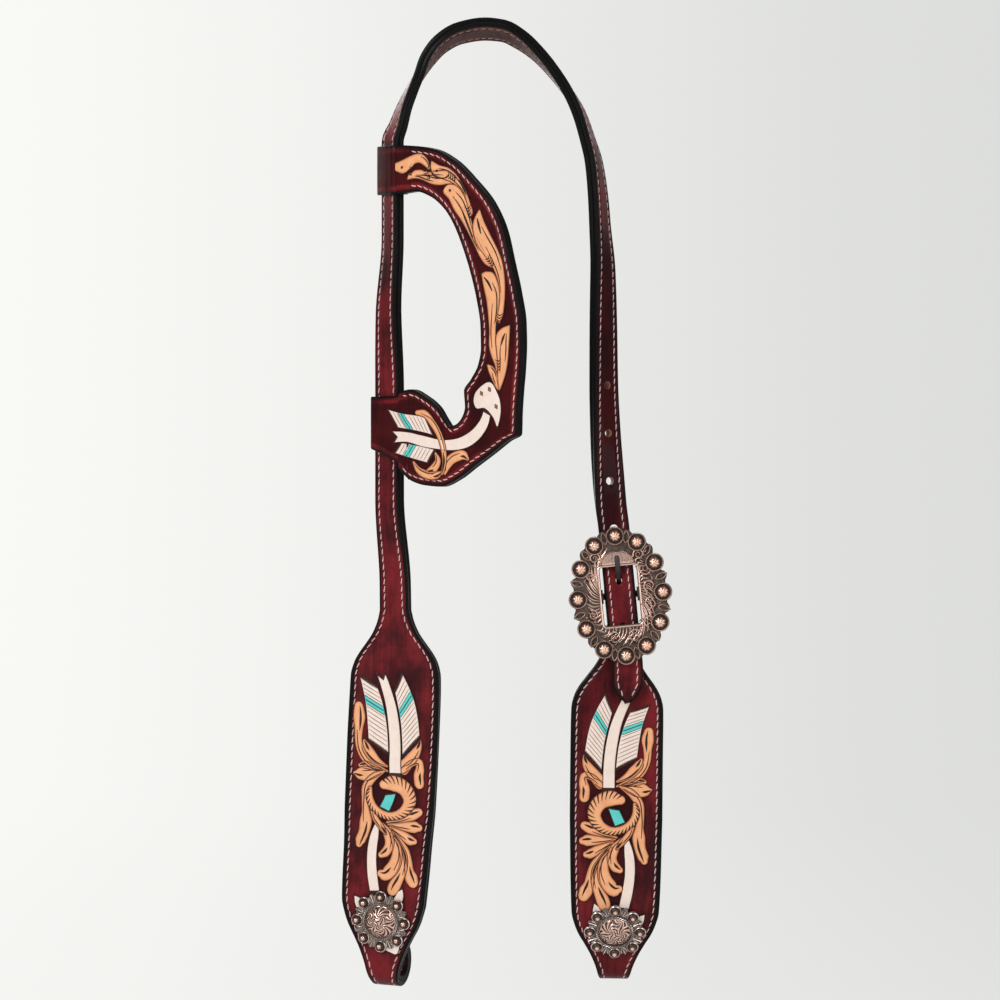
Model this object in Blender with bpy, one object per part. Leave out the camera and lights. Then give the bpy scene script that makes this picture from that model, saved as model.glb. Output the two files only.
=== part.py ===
"""Western headstall: a crown strap with a slip ear, two cheek pieces and berry hardware.

The headstall hangs as it is worn. Its front faces -Y, +X is to the viewer's right and +Z is up.
The origin lies on the underside of the crown, where the poll of the horse carries it.

One long doubled strap runs from the left bit loop up the left cheek, over the poll and down the
right side, where its pointed billet passes the berry buckle. The right cheek piece is folded
round the buckle's heel bar. The ear piece slides on the left side of the crown strap. Both cheek
pieces end in a bit loop that folds back and is held by a screwed concho.
"""

import math
from dataclasses import dataclass, replace

import bmesh
import bpy
from mathutils import Matrix, Vector

MM = 0.001

# Leather
STRAP_WIDTH = 15.9 * MM
PLY = 2.6 * MM
SEAM_GAP = 0.3 * MM
EDGE_EASE = 0.7 * MM
LOOP_PLY = 1.8 * MM
STATION_STEP = 7 * MM
FINE_STEP = 1.75 * MM

# Way of the crown strap
SPAN = 111 * MM
UPPER_LOOP_DROP = 72.5 * MM
LEFT_CHEEK_DROP = 442 * MM
BUCKLE_DROP = 290 * MM
BUCKLE_LEAN = 5.5
BUCKLE_RUN = 22.5 * MM
BUCKLE_CLEAR_RUN = 15 * MM
BILLET_TAIL = 55 * MM
BILLET_POINT = 11 * MM
BILLET_NOSE_WIDTH = 3.2 * MM
BILLET_POINT_STEPS = 4

# Ear piece
EAR_REACH = 80 * MM
EAR_HEIGHT = 174.5 * MM
EAR_PLY = 2.4 * MM
EAR_SPREAD = 52.0
EAR_SET = 2.9 * MM
EAR_SLIDE = 20 * MM
UPPER_LOOP_HEIGHT = 25 * MM
LOWER_LOOP_HEIGHT = 30 * MM
LOWER_LOOP_SHARE = 0.82
LOOP_EASE = 0.45 * MM
LOOP_TAB = 12 * MM
RUN_MARGIN = 2 * MM
UPPER_TWIST = 27.0
LOWER_TWIST = 49.0
POLL_TWIST = -26.0

# Cheek paddles and bit ends
PADDLE_WIDTH = 47.5 * MM
SHOULDER_LENGTH = 41 * MM
LEFT_PADDLE_LENGTH = 136 * MM
RIGHT_PADDLE_LENGTH = 124 * MM
BIT_STRAP_WIDTH = 15 * MM
BIT_TAPER_LENGTH = 42 * MM
BIT_TAPER_START = 10 * MM
BIT_LOOP_RADIUS = 9.25 * MM
BIT_LOOP_DROP = 23.8 * MM
BIT_RETURN_RADIUS = 8 * MM
BIT_RETURN_ANGLE = 45.0
CLAMP_HALF = 4 * MM
BIT_TAIL = 9 * MM
LEFT_BEND_RADIUS = 60 * MM
LEFT_BEND_ANGLE = 10.0
RIGHT_BEND_RADIUS = 33 * MM
RIGHT_BEND_ANGLE = 31.0
ARC_STEP = 15.0
FACING_FRONT = 90.0

# Right cheek piece above its paddle
RIGHT_CHEEK_DROP = 150 * MM
NECK_SHIFT = 2.4 * MM
FOLD_STEP_LENGTH = 9 * MM
FOLD_STEP_DROP = 14 * MM
FOLD_TAIL_STEP_DROP = 5 * MM
FOLD_TAIL_STEP = 6 * MM
FOLD_TAIL = 20 * MM
FOLD_SLOT_WIDTH = 4.6 * MM
SLOT_END_GAP = 0.5 * MM

# Buckle
BERRY_RING_WIDTH = 43.6 * MM
BERRY_RING_HEIGHT = 61.4 * MM
BERRY_COUNT = 12
BERRY_CUP_RADIUS = 4.7 * MM
BERRY_RADIUS = 3.8 * MM
BERRY_HEIGHT = 3.0 * MM
PETAL_RADIUS = 3.1 * MM
OPENING_WIDTH = 19 * MM
OPENING_HEIGHT = 30 * MM
OPENING_CORNER = 1.4 * MM
FRAME_STANDOFF = 0.4 * MM
FRAME_THICKNESS = 2.6 * MM
FRAME_EASE = 0.6 * MM
FRAME_POINTS_PER_BERRY = 12
BAR_RADIUS = 1.75 * MM
BAR_EASE = 0.4 * MM
PIN_GAP = 0.3 * MM
EAR_LUG_EASE = 0.85 * MM
LUG_WIDTH = 2.5 * MM
LUG_HEIGHT = 7 * MM
LUG_BEYOND_BAR = 3.6 * MM

# Tongue
TONGUE_WIDTH = 2.6 * MM
TONGUE_THICKNESS = 2.4 * MM
TONGUE_EYE_WALL = 1.2 * MM
TONGUE_TIP = 20.5 * MM
TONGUE_EXIT = 9.7 * MM
TONGUE_SIDE_GAP = 0.9 * MM

# Holes of the billet
HOLE_SPACING = 24.5 * MM
HOLE_RADIUS = 2.2 * MM
HOLES_ABOVE_BUCKLE = 4
TONGUE_HOLE_RISE = 7.5 * MM
TONGUE_HOLE_LENGTH = 10.2 * MM

# Conchos and their screws
CONCHO_RADIUS = 15.9 * MM
CONCHO_WEB_RADIUS = 13.1 * MM
CONCHO_PLATE = 1.3 * MM
CONCHO_EASE = 0.35 * MM
CONCHO_COLLAR_WIDTH = 1.3 * MM
CONCHO_COLLAR_HEIGHT = 0.8 * MM
CONCHO_COLLAR_EASE = 0.3 * MM
CONCHO_DOME_RADIUS = 8.2 * MM
CONCHO_DOME_HEIGHT = 3.6 * MM
CONCHO_BERRY_COUNT = 8
CONCHO_CUP_RADIUS = 3.0 * MM
CONCHO_BERRY_RADIUS = 2.4 * MM
CONCHO_BERRY_HEIGHT = 2.2 * MM
CONCHO_PETAL_RADIUS = 1.4 * MM
CONCHO_POINTS_PER_BERRY = 12
POST_RADIUS = 2.5 * MM
POST_BORE = 1.8 * MM
POST_TOP = 1.4 * MM
SCREW_RADIUS = 1.5 * MM
SCREW_HEAD_RADIUS = 4.5 * MM
SCREW_HEAD_HEIGHT = 1.4 * MM
SCREW_SLOT_WIDTH = 1.0 * MM
SCREW_SLOT_DEPTH = 0.7 * MM

# Sizes that follow from the ones above
STRAP_THICKNESS = 2 * PLY + SEAM_GAP
EAR_THICKNESS = 2 * EAR_PLY + SEAM_GAP
LOOP_HALF_WIDTH = STRAP_WIDTH / 2 + LOOP_EASE + LOOP_PLY
BAR_DEPTH = STRAP_THICKNESS / 2 + SEAM_GAP + PLY + BAR_EASE + BAR_RADIUS
TONGUE_EYE_RADIUS = BAR_RADIUS + PIN_GAP + TONGUE_EYE_WALL
CONCHO_BERRY_RING = CONCHO_RADIUS - CONCHO_CUP_RADIUS

# Cuts run this far past the piece that they cut, and points closer than the weld are one
OVERRUN = 2 * MM
WELD = 0.01 * MM
EMBED = 0.5 * MM

# Corners of a strap's section at which its outer and its inner side start. Both sides are split
# along the same diagonal, so that two plies keep their gap where the strap twists.
OUTER_SIDE = 2
INNER_SIDE = 6

# Smoothness of turned pieces
ROUND_STEPS = 32
SMALL_ROUND_STEPS = 12
HOLE_STEPS = 16
BERRY_DOME_STEPS = 3
CONCHO_DOME_STEPS = 4
CONCHO_BERRY_DOME_STEPS = 2
SHARP_ANGLE = 35.0

# Finishes: colour, roughness and how metallic each is
FINISHES = {
    "burgundy_leather": ((0.115, 0.018, 0.016), 0.42, 0.0),
    "ear_leather": ((0.125, 0.020, 0.018), 0.42, 0.0),
    "black_lining": ((0.018, 0.013, 0.012), 0.55, 0.0),
    "antique_gunmetal": ((0.165, 0.155, 0.150), 0.38, 0.9),
    "antique_copper": ((0.46, 0.20, 0.11), 0.34, 0.95),
    "worn_steel": ((0.32, 0.30, 0.28), 0.35, 0.95),
}

# Half of the crown strap's way, as shares of the span across and of the drop to each run
LEFT_CROWN_SHARES = (
    (-0.115, 0.036, -24),
    (-0.203, 0.130, -19),
    (-0.263, 0.265, -12),
    (-0.304, 0.413, 0),
    (-0.339, 0.548, 7),
    (-0.374, 0.701, 13),
    (-0.400, 0.853, 20),
)
UPPER_RUN_SHARE = -0.426
BETWEEN_RUNS_SHARE = -0.445
BETWEEN_RUNS_TWIST = 38.0
LOWER_RUN_SHARE = -0.440
LEFT_CHEEK_SHARES = (
    (-0.414, 0.22, 64),
    (-0.411, 0.42, 72),
    (-0.424, 0.62, 78),
    (-0.437, 0.78, 75),
    (-0.450, 0.90, 70),
    (-0.463, 1.00, 70),
)
RIGHT_CROWN_SHARES = (
    (0.081, 0.003, -24),
    (0.160, 0.018, -19),
    (0.243, 0.044, -10),
    (0.321, 0.078, -4),
    (0.387, 0.114, 2),
    (0.433, 0.148, 8),
    (0.475, 0.197, 12),
    (0.502, 0.235, 17),
    (0.523, 0.302, 23),
    (0.531, 0.349, 26),
    (0.544, 0.427, 36),
    (0.546, 0.522, 44),
    (0.548, 0.626, 49),
    (0.555, 0.707, 57),
    (0.569, 0.792, 73),
    (0.582, 0.845, 87),
    (0.592, 0.873, 90),
)
BUCKLE_SHARE = 0.624

# Outer and inner edge of the ear piece: reach and height of each, as shares
EAR_OUTLINE_SHARES = (
    ((0.155, 0.005), (0.140, 0.138)),
    ((0.295, 0.016), (0.255, 0.153)),
    ((0.450, 0.049), (0.374, 0.192)),
    ((0.603, 0.106), (0.450, 0.239)),
    ((0.752, 0.176), (0.506, 0.290)),
    ((0.850, 0.257), (0.550, 0.338)),
    ((0.906, 0.346), (0.594, 0.395)),
    ((0.962, 0.441), (0.634, 0.461)),
    ((0.996, 0.524), (0.662, 0.533)),
    ((1.000, 0.590), (0.666, 0.598)),
    ((0.992, 0.658), (0.642, 0.648)),
    ((0.976, 0.727), (0.587, 0.687)),
    ((0.965, 0.790), (0.530, 0.722)),
    ((0.960, 0.848), (0.538, 0.768)),
    ((0.876, 0.868), (0.512, 0.799)),
    ((0.761, 0.901), (0.462, 0.819)),
    ((0.607, 0.943), (0.413, 0.824)),
    ((0.475, 0.979), (0.369, 0.802)),
    ((0.344, 1.000), (0.312, 0.767)),
    ((0.212, 0.996), (0.215, 0.736)),
    ((0.098, 0.982), (0.098, 0.715)),
)
EAR_START_SHARES = (0.000, 0.143)
EAR_END_SHARES = (0.950, 0.721)

# Where along the shoulder the paddle's own length ends
SHOULDER_MARK_SHARE = 0.56

# Paddle's half width between the strap's and its own, along the shoulder and the bit taper
SHOULDER_SHARES = (
    (0.000, 0.00),
    (0.125, 0.08),
    (0.290, 0.27),
    (0.400, 0.47),
    (0.560, 0.77),
    (0.660, 0.90),
    (0.810, 0.99),
    (1.000, 1.00),
)
BIT_TAPER_SHARES = (
    (-1.10, 1.00),
    (0.00, 0.92),
    (0.17, 0.82),
    (0.30, 0.70),
    (0.45, 0.50),
    (0.62, 0.29),
    (0.83, 0.10),
    (1.00, 0.00),
)

# Neck of the right cheek piece: sideways and down from the heel bar
NECK_SHARES = (
    (0.42, 0.100),
    (0.00, 0.190),
    (-0.40, 0.290),
    (-0.62, 0.400),
    (-1.00, 1.000),
)

# The ear piece's stations stand this far between two rows of its outline
EAR_STATION_SHARES = (0.0, 0.5)

# Petals stand this much farther out than the berries do
PETAL_RING_SHARE = 1.02
CONCHO_PETAL_RING_SHARE = 1.05

# Middle line of the tongue: rise above the bar and way forward, as shares of each
TONGUE_SHARES = (
    (0.093, 0.129),
    (0.220, 0.248),
    (0.390, 0.485),
    (0.537, 0.736),
    (0.644, 0.920),
    (0.746, 1.000),
    (1.000, 1.000),
)


@dataclass(frozen=True)
class Frame:
    """A place on a strap: its middle, the way it runs, its width and its outer side."""

    point: Vector
    along: Vector
    across: Vector
    outward: Vector

    def at(self, across=0.0, along=0.0, outward=0.0):
        """Return the place that lies this far from the middle."""
        return self.point + self.across * across + self.along * along + self.outward * outward

    def moved(self, across=0.0, along=0.0, outward=0.0):
        """Return the same frame at another place."""
        return replace(self, point=self.at(across, along, outward))


@dataclass(frozen=True)
class Bend:
    """A point of a strap's side view: how far down, how far forward and where it heads."""

    down: float
    forward: float
    heading: float


class Curve:
    """A smooth curve through values that never swings past them."""

    def __init__(self, stations, values):
        self.stations = list(stations)
        self.values = list(values)
        steps = [after - before for before, after in zip(self.stations, self.stations[1:])]
        pairs = zip(self.values, self.values[1:], steps)
        rises = [(after - before) / step for before, after, step in pairs]
        self.slopes = [rises[0]]
        for before, after, step_before, step_after in zip(rises, rises[1:], steps, steps[1:]):
            if before * after <= 0:
                self.slopes.append(0.0)
                continue
            weight_before = 2 * step_after + step_before
            weight_after = step_after + 2 * step_before
            weights = weight_before + weight_after
            self.slopes.append(weights / (weight_before / before + weight_after / after))
        self.slopes.append(rises[-1])

    def __call__(self, station):
        """Return the value at a station, held at the first and last values beyond the ends."""
        if station <= self.stations[0]:
            return self.values[0]
        if station >= self.stations[-1]:
            return self.values[-1]
        index = max(i for i, start in enumerate(self.stations) if start <= station)
        step = self.stations[index + 1] - self.stations[index]
        t = (station - self.stations[index]) / step
        start_part = (1 + 2 * t) * (1 - t) ** 2 * self.values[index]
        end_part = t * t * (3 - 2 * t) * self.values[index + 1]
        start_slope = t * (1 - t) ** 2 * step * self.slopes[index]
        end_slope = t * t * (t - 1) * step * self.slopes[index + 1]
        return start_part + end_part + start_slope + end_slope


class SideView:
    """A strap's side view, drawn by straight runs and arcs in the order that it is bent."""

    def __init__(self, down=0.0, forward=0.0, heading=0.0):
        self.bends = [Bend(down, forward, heading)]

    def run(self, length):
        """Go straight on."""
        steps = max(1, round(length / STATION_STEP))
        for _ in range(steps):
            last = self.bends[-1]
            down = last.down + length / steps * math.cos(last.heading)
            forward = last.forward + length / steps * math.sin(last.heading)
            self.bends.append(Bend(down, forward, last.heading))
        return self

    def turn(self, radius, degrees):
        """Go round an arc: towards the back for a positive angle, else towards the front."""
        steps = max(1, math.ceil(abs(degrees) / ARC_STEP))
        turned = -math.radians(degrees) / steps
        chord = 2 * radius * math.sin(abs(turned) / 2)
        for _ in range(steps):
            last = self.bends[-1]
            middle = last.heading + turned / 2
            down = last.down + chord * math.cos(middle)
            forward = last.forward + chord * math.sin(middle)
            self.bends.append(Bend(down, forward, last.heading + turned))
        return self

    def step_over(self, length, shift):
        """Go on with a smooth sideways step, forward for a positive shift."""
        start = self.bends[-1]
        steps = max(2, math.ceil(length / FINE_STEP))
        for index in range(1, steps + 1):
            t = index / steps
            way = length * t
            side = shift * t * t * (3 - 2 * t)
            slope = math.atan(shift * 6 * t * (1 - t) / length)
            down = start.down + way * math.cos(start.heading) - side * math.sin(start.heading)
            forward = start.forward + way * math.sin(start.heading) + side * math.cos(start.heading)
            self.bends.append(Bend(down, forward, start.heading + slope))
        return self

    def frames(self, base, downward):
        """Return the frames of this side view, hung from a base frame."""
        frames = []
        for bend in self.bends:
            point = base.point + downward * bend.down + base.outward * bend.forward
            along = downward * math.cos(bend.heading) + base.outward * math.sin(bend.heading)
            outward = base.outward * math.cos(bend.heading) - downward * math.sin(bend.heading)
            frames.append(Frame(point, along, base.across, outward))
        return frames


def clear_scene():
    """Remove the objects that the scene starts with."""
    for found in list(bpy.data.objects):
        bpy.data.objects.remove(found, do_unlink=True)


def finish_material(name):
    """Return a plain material with the colour and shine of the real piece."""
    colour, roughness, metallic = FINISHES[name]
    material = bpy.data.materials.new(name)
    material.use_nodes = True
    shader = material.node_tree.nodes["Principled BSDF"]
    shader.inputs["Base Color"].default_value = (*colour, 1.0)
    shader.inputs["Roughness"].default_value = roughness
    shader.inputs["Metallic"].default_value = metallic
    return material


def new_piece(name, mesh, material=None, smooth=False):
    """Make an object of a mesh that has been built, with its faces pointing out."""
    bmesh.ops.recalc_face_normals(mesh, faces=mesh.faces)
    if mesh.calc_volume(signed=True) < 0:
        bmesh.ops.reverse_faces(mesh, faces=mesh.faces)
    data = bpy.data.meshes.new(name)
    mesh.to_mesh(data)
    mesh.free()
    if smooth:
        data.shade_smooth()
        data.set_sharp_from_angle(angle=math.radians(SHARP_ANGLE))
    piece = bpy.data.objects.new(name, data)
    bpy.context.scene.collection.objects.link(piece)
    if material is not None:
        data.materials.append(material)
    return piece


def as_guide(piece):
    """Mark a piece that only shapes another one."""
    piece.hide_render = True
    piece.display_type = "WIRE"
    return piece


def shape_with(piece, guide, operation):
    """Cut a guide out of a piece, or join it on."""
    modifier = piece.modifiers.new(guide.name, "BOOLEAN")
    modifier.operation = operation
    modifier.solver = "EXACT"
    modifier.object = as_guide(guide)
    return piece


def set_origin(piece, point):
    """Give a piece its origin at a point, with the piece itself left in place."""
    piece.data.transform(Matrix.Translation(-point))
    piece.location = point


def placed(frame):
    """Return the matrix of a frame: X across, Y along and Z outward."""
    matrix = Matrix((frame.across, frame.along, frame.outward)).transposed().to_4x4()
    matrix.translation = frame.point
    return matrix


def strip_mesh(frames, half_widths, inner, outer):
    """Return a strap's mesh between two depths, with its four long corners eased."""
    mesh = bmesh.new()
    rings = []
    for frame, half in zip(frames, half_widths):
        ease = min(EDGE_EASE, half / 2)
        corners = (
            (-half, inner + ease),
            (-half, outer - ease),
            (-half + ease, outer),
            (half - ease, outer),
            (half, outer - ease),
            (half, inner + ease),
            (half - ease, inner),
            (-half + ease, inner),
        )
        rings.append([mesh.verts.new(frame.at(across=x, outward=z)) for x, z in corners])
    for ring, following in zip(rings, rings[1:]):
        for index in range(len(ring)):
            after = (index + 1) % len(ring)
            if index == OUTER_SIDE:
                mesh.faces.new((ring[index], ring[after], following[after]))
                mesh.faces.new((ring[index], following[after], following[index]))
            elif index == INNER_SIDE:
                mesh.faces.new((ring[index], ring[after], following[index]))
                mesh.faces.new((ring[after], following[after], following[index]))
            else:
                mesh.faces.new((ring[index], ring[after], following[after], following[index]))
    mesh.faces.new(rings[0])
    mesh.faces.new(rings[-1])
    return mesh


def prism_mesh(outline, low, high, frame, axis="along"):
    """Return the mesh of an outline pushed from a low to a high place along one axis of a frame."""
    mesh = bmesh.new()
    if axis == "along":
        bottom = [mesh.verts.new(frame.at(across=x, outward=y, along=low)) for x, y in outline]
        push = frame.along * (high - low)
    else:
        bottom = [mesh.verts.new(frame.at(across=x, along=y, outward=low)) for x, y in outline]
        push = frame.outward * (high - low)
    face = mesh.faces.new(bottom)
    pushed = bmesh.ops.extrude_face_region(mesh, geom=[face], use_keep_orig=True)
    top = [found for found in pushed["geom"] if isinstance(found, bmesh.types.BMVert)]
    bmesh.ops.translate(mesh, verts=top, vec=push)
    return mesh


def box_mesh(frame, width, length, depth):
    """Return a box around a frame: width across, length along and depth outward."""
    mesh = bmesh.new()
    size = Matrix.Diagonal((width, length, depth, 1))
    bmesh.ops.create_cube(mesh, size=1, matrix=placed(frame) @ size)
    return mesh


def rod_mesh(frame, axis, radius, length, steps):
    """Return a rod through a frame's point, along one of the frame's own directions."""
    mesh = bmesh.new()
    turned = axis.to_track_quat("Z", "Y").to_matrix().to_4x4()
    matrix = Matrix.Translation(frame.point) @ turned
    bmesh.ops.create_cone(
        mesh, cap_ends=True, segments=steps, radius1=radius, radius2=radius, depth=length, matrix=matrix
    )
    return mesh


def turned_mesh(frame, profile, steps):
    """Return a turned piece: its profile is radius and height, spun round the frame's outward."""
    mesh = bmesh.new()
    verts = [mesh.verts.new((radius, 0, height)) for radius, height in profile]
    edges = [mesh.edges.new(pair) for pair in zip(verts, verts[1:])]
    if profile[0][0] > 0 and profile[-1][0] > 0:
        edges.append(mesh.edges.new((verts[-1], verts[0])))
    bmesh.ops.spin(
        mesh,
        geom=verts + edges,
        cent=(0, 0, 0),
        axis=(0, 0, 1),
        angle=math.tau,
        steps=steps,
        use_merge=True,
    )
    bmesh.ops.remove_doubles(mesh, verts=mesh.verts, dist=WELD)
    mesh.transform(placed(frame))
    return mesh


def gathered(meshes):
    """Return one mesh that holds several separate solids."""
    together = bmesh.new()
    for mesh in meshes:
        data = bpy.data.meshes.new("part_of_group")
        mesh.to_mesh(data)
        mesh.free()
        together.from_mesh(data)
        bpy.data.meshes.remove(data)
    return together


def twisted_frame(point, along, twist):
    """Return a frame whose outer side is turned from the arch's outside towards the front."""
    around = Vector((-along.z, 0, along.x))
    front = Vector((0, -1, 0))
    angle = math.radians(twist)
    outward = around * math.cos(angle) + front * math.sin(angle)
    return Frame(point, along, along.cross(outward), outward)


def even_frames(knots, start):
    """Return even frames along a smooth way through knots of place across, height and twist."""
    stations = [0.0]
    for before, after in zip(knots, knots[1:]):
        stations.append(stations[-1] + math.hypot(after[0] - before[0], after[1] - before[1]))
    across, height, twist = (Curve(stations, [knot[i] for knot in knots]) for i in range(3))
    count = round(stations[-1] / STATION_STEP)
    frames = []
    for index in range(count + 1):
        station = stations[-1] * index / count
        before = max(0, station - WELD)
        after = min(stations[-1], station + WELD)
        along = Vector((across(after) - across(before), 0, height(after) - height(before))).normalized()
        point = start + Vector((across(station), 0, height(station)))
        frames.append(twisted_frame(point, along, twist(station)))
    return frames


def route_frame_at(frames, drop):
    """Return the frame of a way that lies this far below the crown."""
    heights = [POLL_OFFSET.z - frame.point.z for frame in frames]
    for index, (before, after) in enumerate(zip(heights, heights[1:])):
        if min(before, after) <= drop <= max(before, after):
            share = (drop - before) / (after - before)
            near = frames[index]
            far = frames[index + 1]
            point = near.point.lerp(far.point, share)
            outward = near.outward.lerp(far.outward, share).normalized()
            along = (far.point - near.point).normalized()
            outward = (outward - along * outward.dot(along)).normalized()
            return Frame(point, along, along.cross(outward), outward)
    return frames[-1]


def lengths_along(frames):
    """Return how far along its strap each frame lies."""
    lengths = [0.0]
    for before, after in zip(frames, frames[1:]):
        lengths.append(lengths[-1] + (after.point - before.point).length)
    return lengths


def poll_offset():
    """Return the middle of the strap over the poll, with its underside at the origin."""
    angle = math.radians(POLL_TWIST)
    return Vector((0, -math.sin(angle), math.cos(angle))) * (STRAP_THICKNESS / 2)


POLL_OFFSET = poll_offset()


def crown_knots():
    """Return the way of the crown strap, from the left cheek over the poll to the billet's tip."""
    upper_top = UPPER_LOOP_DROP - UPPER_LOOP_HEIGHT / 2 - RUN_MARGIN
    upper_end = UPPER_LOOP_DROP + UPPER_LOOP_HEIGHT / 2 + EAR_SLIDE + RUN_MARGIN
    lower_top = lower_loop_drop() - LOWER_LOOP_HEIGHT / 2 - RUN_MARGIN
    lower_end = lower_loop_drop() + LOWER_LOOP_HEIGHT / 2 + EAR_SLIDE + RUN_MARGIN
    below = LEFT_CHEEK_DROP - lower_end
    knots = [(x * SPAN, -lower_end - z * below, twist) for x, z, twist in reversed(LEFT_CHEEK_SHARES)]
    knots.append((LOWER_RUN_SHARE * SPAN, -lower_end, LOWER_TWIST))
    knots.append((LOWER_RUN_SHARE * SPAN, -lower_top, LOWER_TWIST))
    knots.append((BETWEEN_RUNS_SHARE * SPAN, -(lower_top + upper_end) / 2, BETWEEN_RUNS_TWIST))
    knots.append((UPPER_RUN_SHARE * SPAN, -upper_end, UPPER_TWIST))
    knots.append((UPPER_RUN_SHARE * SPAN, -upper_top, UPPER_TWIST))
    knots += [(x * SPAN, -z * upper_top, twist) for x, z, twist in reversed(LEFT_CROWN_SHARES)]
    knots.append((0, 0, POLL_TWIST))
    knots += [(x * SPAN, -z * BUCKLE_DROP, twist) for x, z, twist in RIGHT_CROWN_SHARES]
    lean = math.tan(math.radians(BUCKLE_LEAN))
    buckle_x = BUCKLE_SHARE * SPAN
    for below_bar in (-BUCKLE_RUN, -BUCKLE_CLEAR_RUN, BUCKLE_CLEAR_RUN, BUCKLE_RUN):
        knots.append((buckle_x + below_bar * lean, -BUCKLE_DROP - below_bar, FACING_FRONT))
    half_way = (BUCKLE_RUN + BILLET_TAIL) / 2
    for below_bar in (half_way, BILLET_TAIL):
        knots.append((buckle_x + half_way * lean, -BUCKLE_DROP - below_bar, FACING_FRONT))
    return knots


def lower_loop_drop():
    """Return how far below the crown the middle of the lower ear loop lies."""
    return UPPER_LOOP_DROP - UPPER_LOOP_HEIGHT / 2 + EAR_HEIGHT * LOWER_LOOP_SHARE


def bit_end(radius, angle):
    """Return the side view of a bit end, from the flat paddle to the end of the folded tail."""
    spacing = STRAP_THICKNESS + SEAM_GAP
    back = math.radians(BIT_RETURN_ANGLE)
    gathered_radii = BIT_LOOP_RADIUS + BIT_RETURN_RADIUS
    closing = 2 * BIT_LOOP_RADIUS - spacing - gathered_radii * (1 - math.cos(back))
    slant = closing / math.sin(back)
    rise = gathered_radii * math.sin(back) + slant * math.cos(back)
    view = SideView()
    view.turn(radius, angle)
    view.run(CLAMP_HALF + BIT_LOOP_DROP)
    view.turn(BIT_LOOP_RADIUS, 180 + BIT_RETURN_ANGLE)
    view.run(slant)
    view.turn(BIT_RETURN_RADIUS, -BIT_RETURN_ANGLE)
    view.run(BIT_LOOP_DROP - rise + CLAMP_HALF)
    view.turn(radius - spacing, -math.degrees(BIT_TAIL / radius))
    return view


def screw_frame(base, downward, radius, angle):
    """Return the place of the concho's screw on a bit end."""
    view = SideView().turn(radius, angle).run(CLAMP_HALF)
    return view.frames(base, downward)[-1]


def paddle_half_width(above_screw, paddle_length):
    """Return half the width of a cheek piece, this far above its concho's screw."""
    strap = STRAP_WIDTH / 2
    paddle = PADDLE_WIDTH / 2
    tip = BIT_STRAP_WIDTH / 2
    shoulder = Curve(*zip(*SHOULDER_SHARES))
    taper = Curve(*zip(*BIT_TAPER_SHARES))
    shoulder_place = SHOULDER_MARK_SHARE + (paddle_length - above_screw) / SHOULDER_LENGTH
    top = strap + (paddle - strap) * shoulder(shoulder_place)
    bottom = tip + (paddle - tip) * taper((BIT_TAPER_START - above_screw) / BIT_TAPER_LENGTH)
    return min(top, bottom) if above_screw > BIT_TAPER_START else bottom


def billet_half_width(before_tip):
    """Return half the width of the billet, this far before its pointed tip."""
    nose = BILLET_NOSE_WIDTH / 2
    share = min(1, before_tip / BILLET_POINT)
    return nose + (STRAP_WIDTH / 2 - nose) * math.sin(share * math.pi / 2)


def with_close_tip(frames, length):
    """Return the frames with extra ones near the last, where the strap is pointed."""
    last = frames[-1]
    kept = [frame for frame in frames if (frame.point - last.point).length > length + WELD]
    for index in range(BILLET_POINT_STEPS, -1, -1):
        kept.append(last.moved(along=-length * index / BILLET_POINT_STEPS))
    return kept


def straight_cutter(name, places, radius, steps=HOLE_STEPS):
    """Return one guide of rods that cut straight through the strap at several frames."""
    length = 2 * STRAP_THICKNESS + 2 * OVERRUN
    rods = [rod_mesh(frame, frame.outward, radius, length, steps) for frame in places]
    return as_guide(new_piece(name, gathered(rods)))


def slot_outline(width, length):
    """Return the outline of a slot with round ends, longer along the strap."""
    radius = width / 2
    reach = length / 2 - radius
    outline = []
    for end, start in ((1, 0.0), (-1, math.pi)):
        for index in range(HOLE_STEPS // 2 + 1):
            angle = start + math.pi * index / (HOLE_STEPS // 2)
            outline.append((radius * math.cos(angle), end * reach + radius * math.sin(angle)))
    return outline


def split_at_poll(frames):
    """Return the frames left of the poll and those right of it."""
    top = max(range(len(frames)), key=lambda index: frames[index].point.z)
    return frames[: top + 1], frames[top:]


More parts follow.
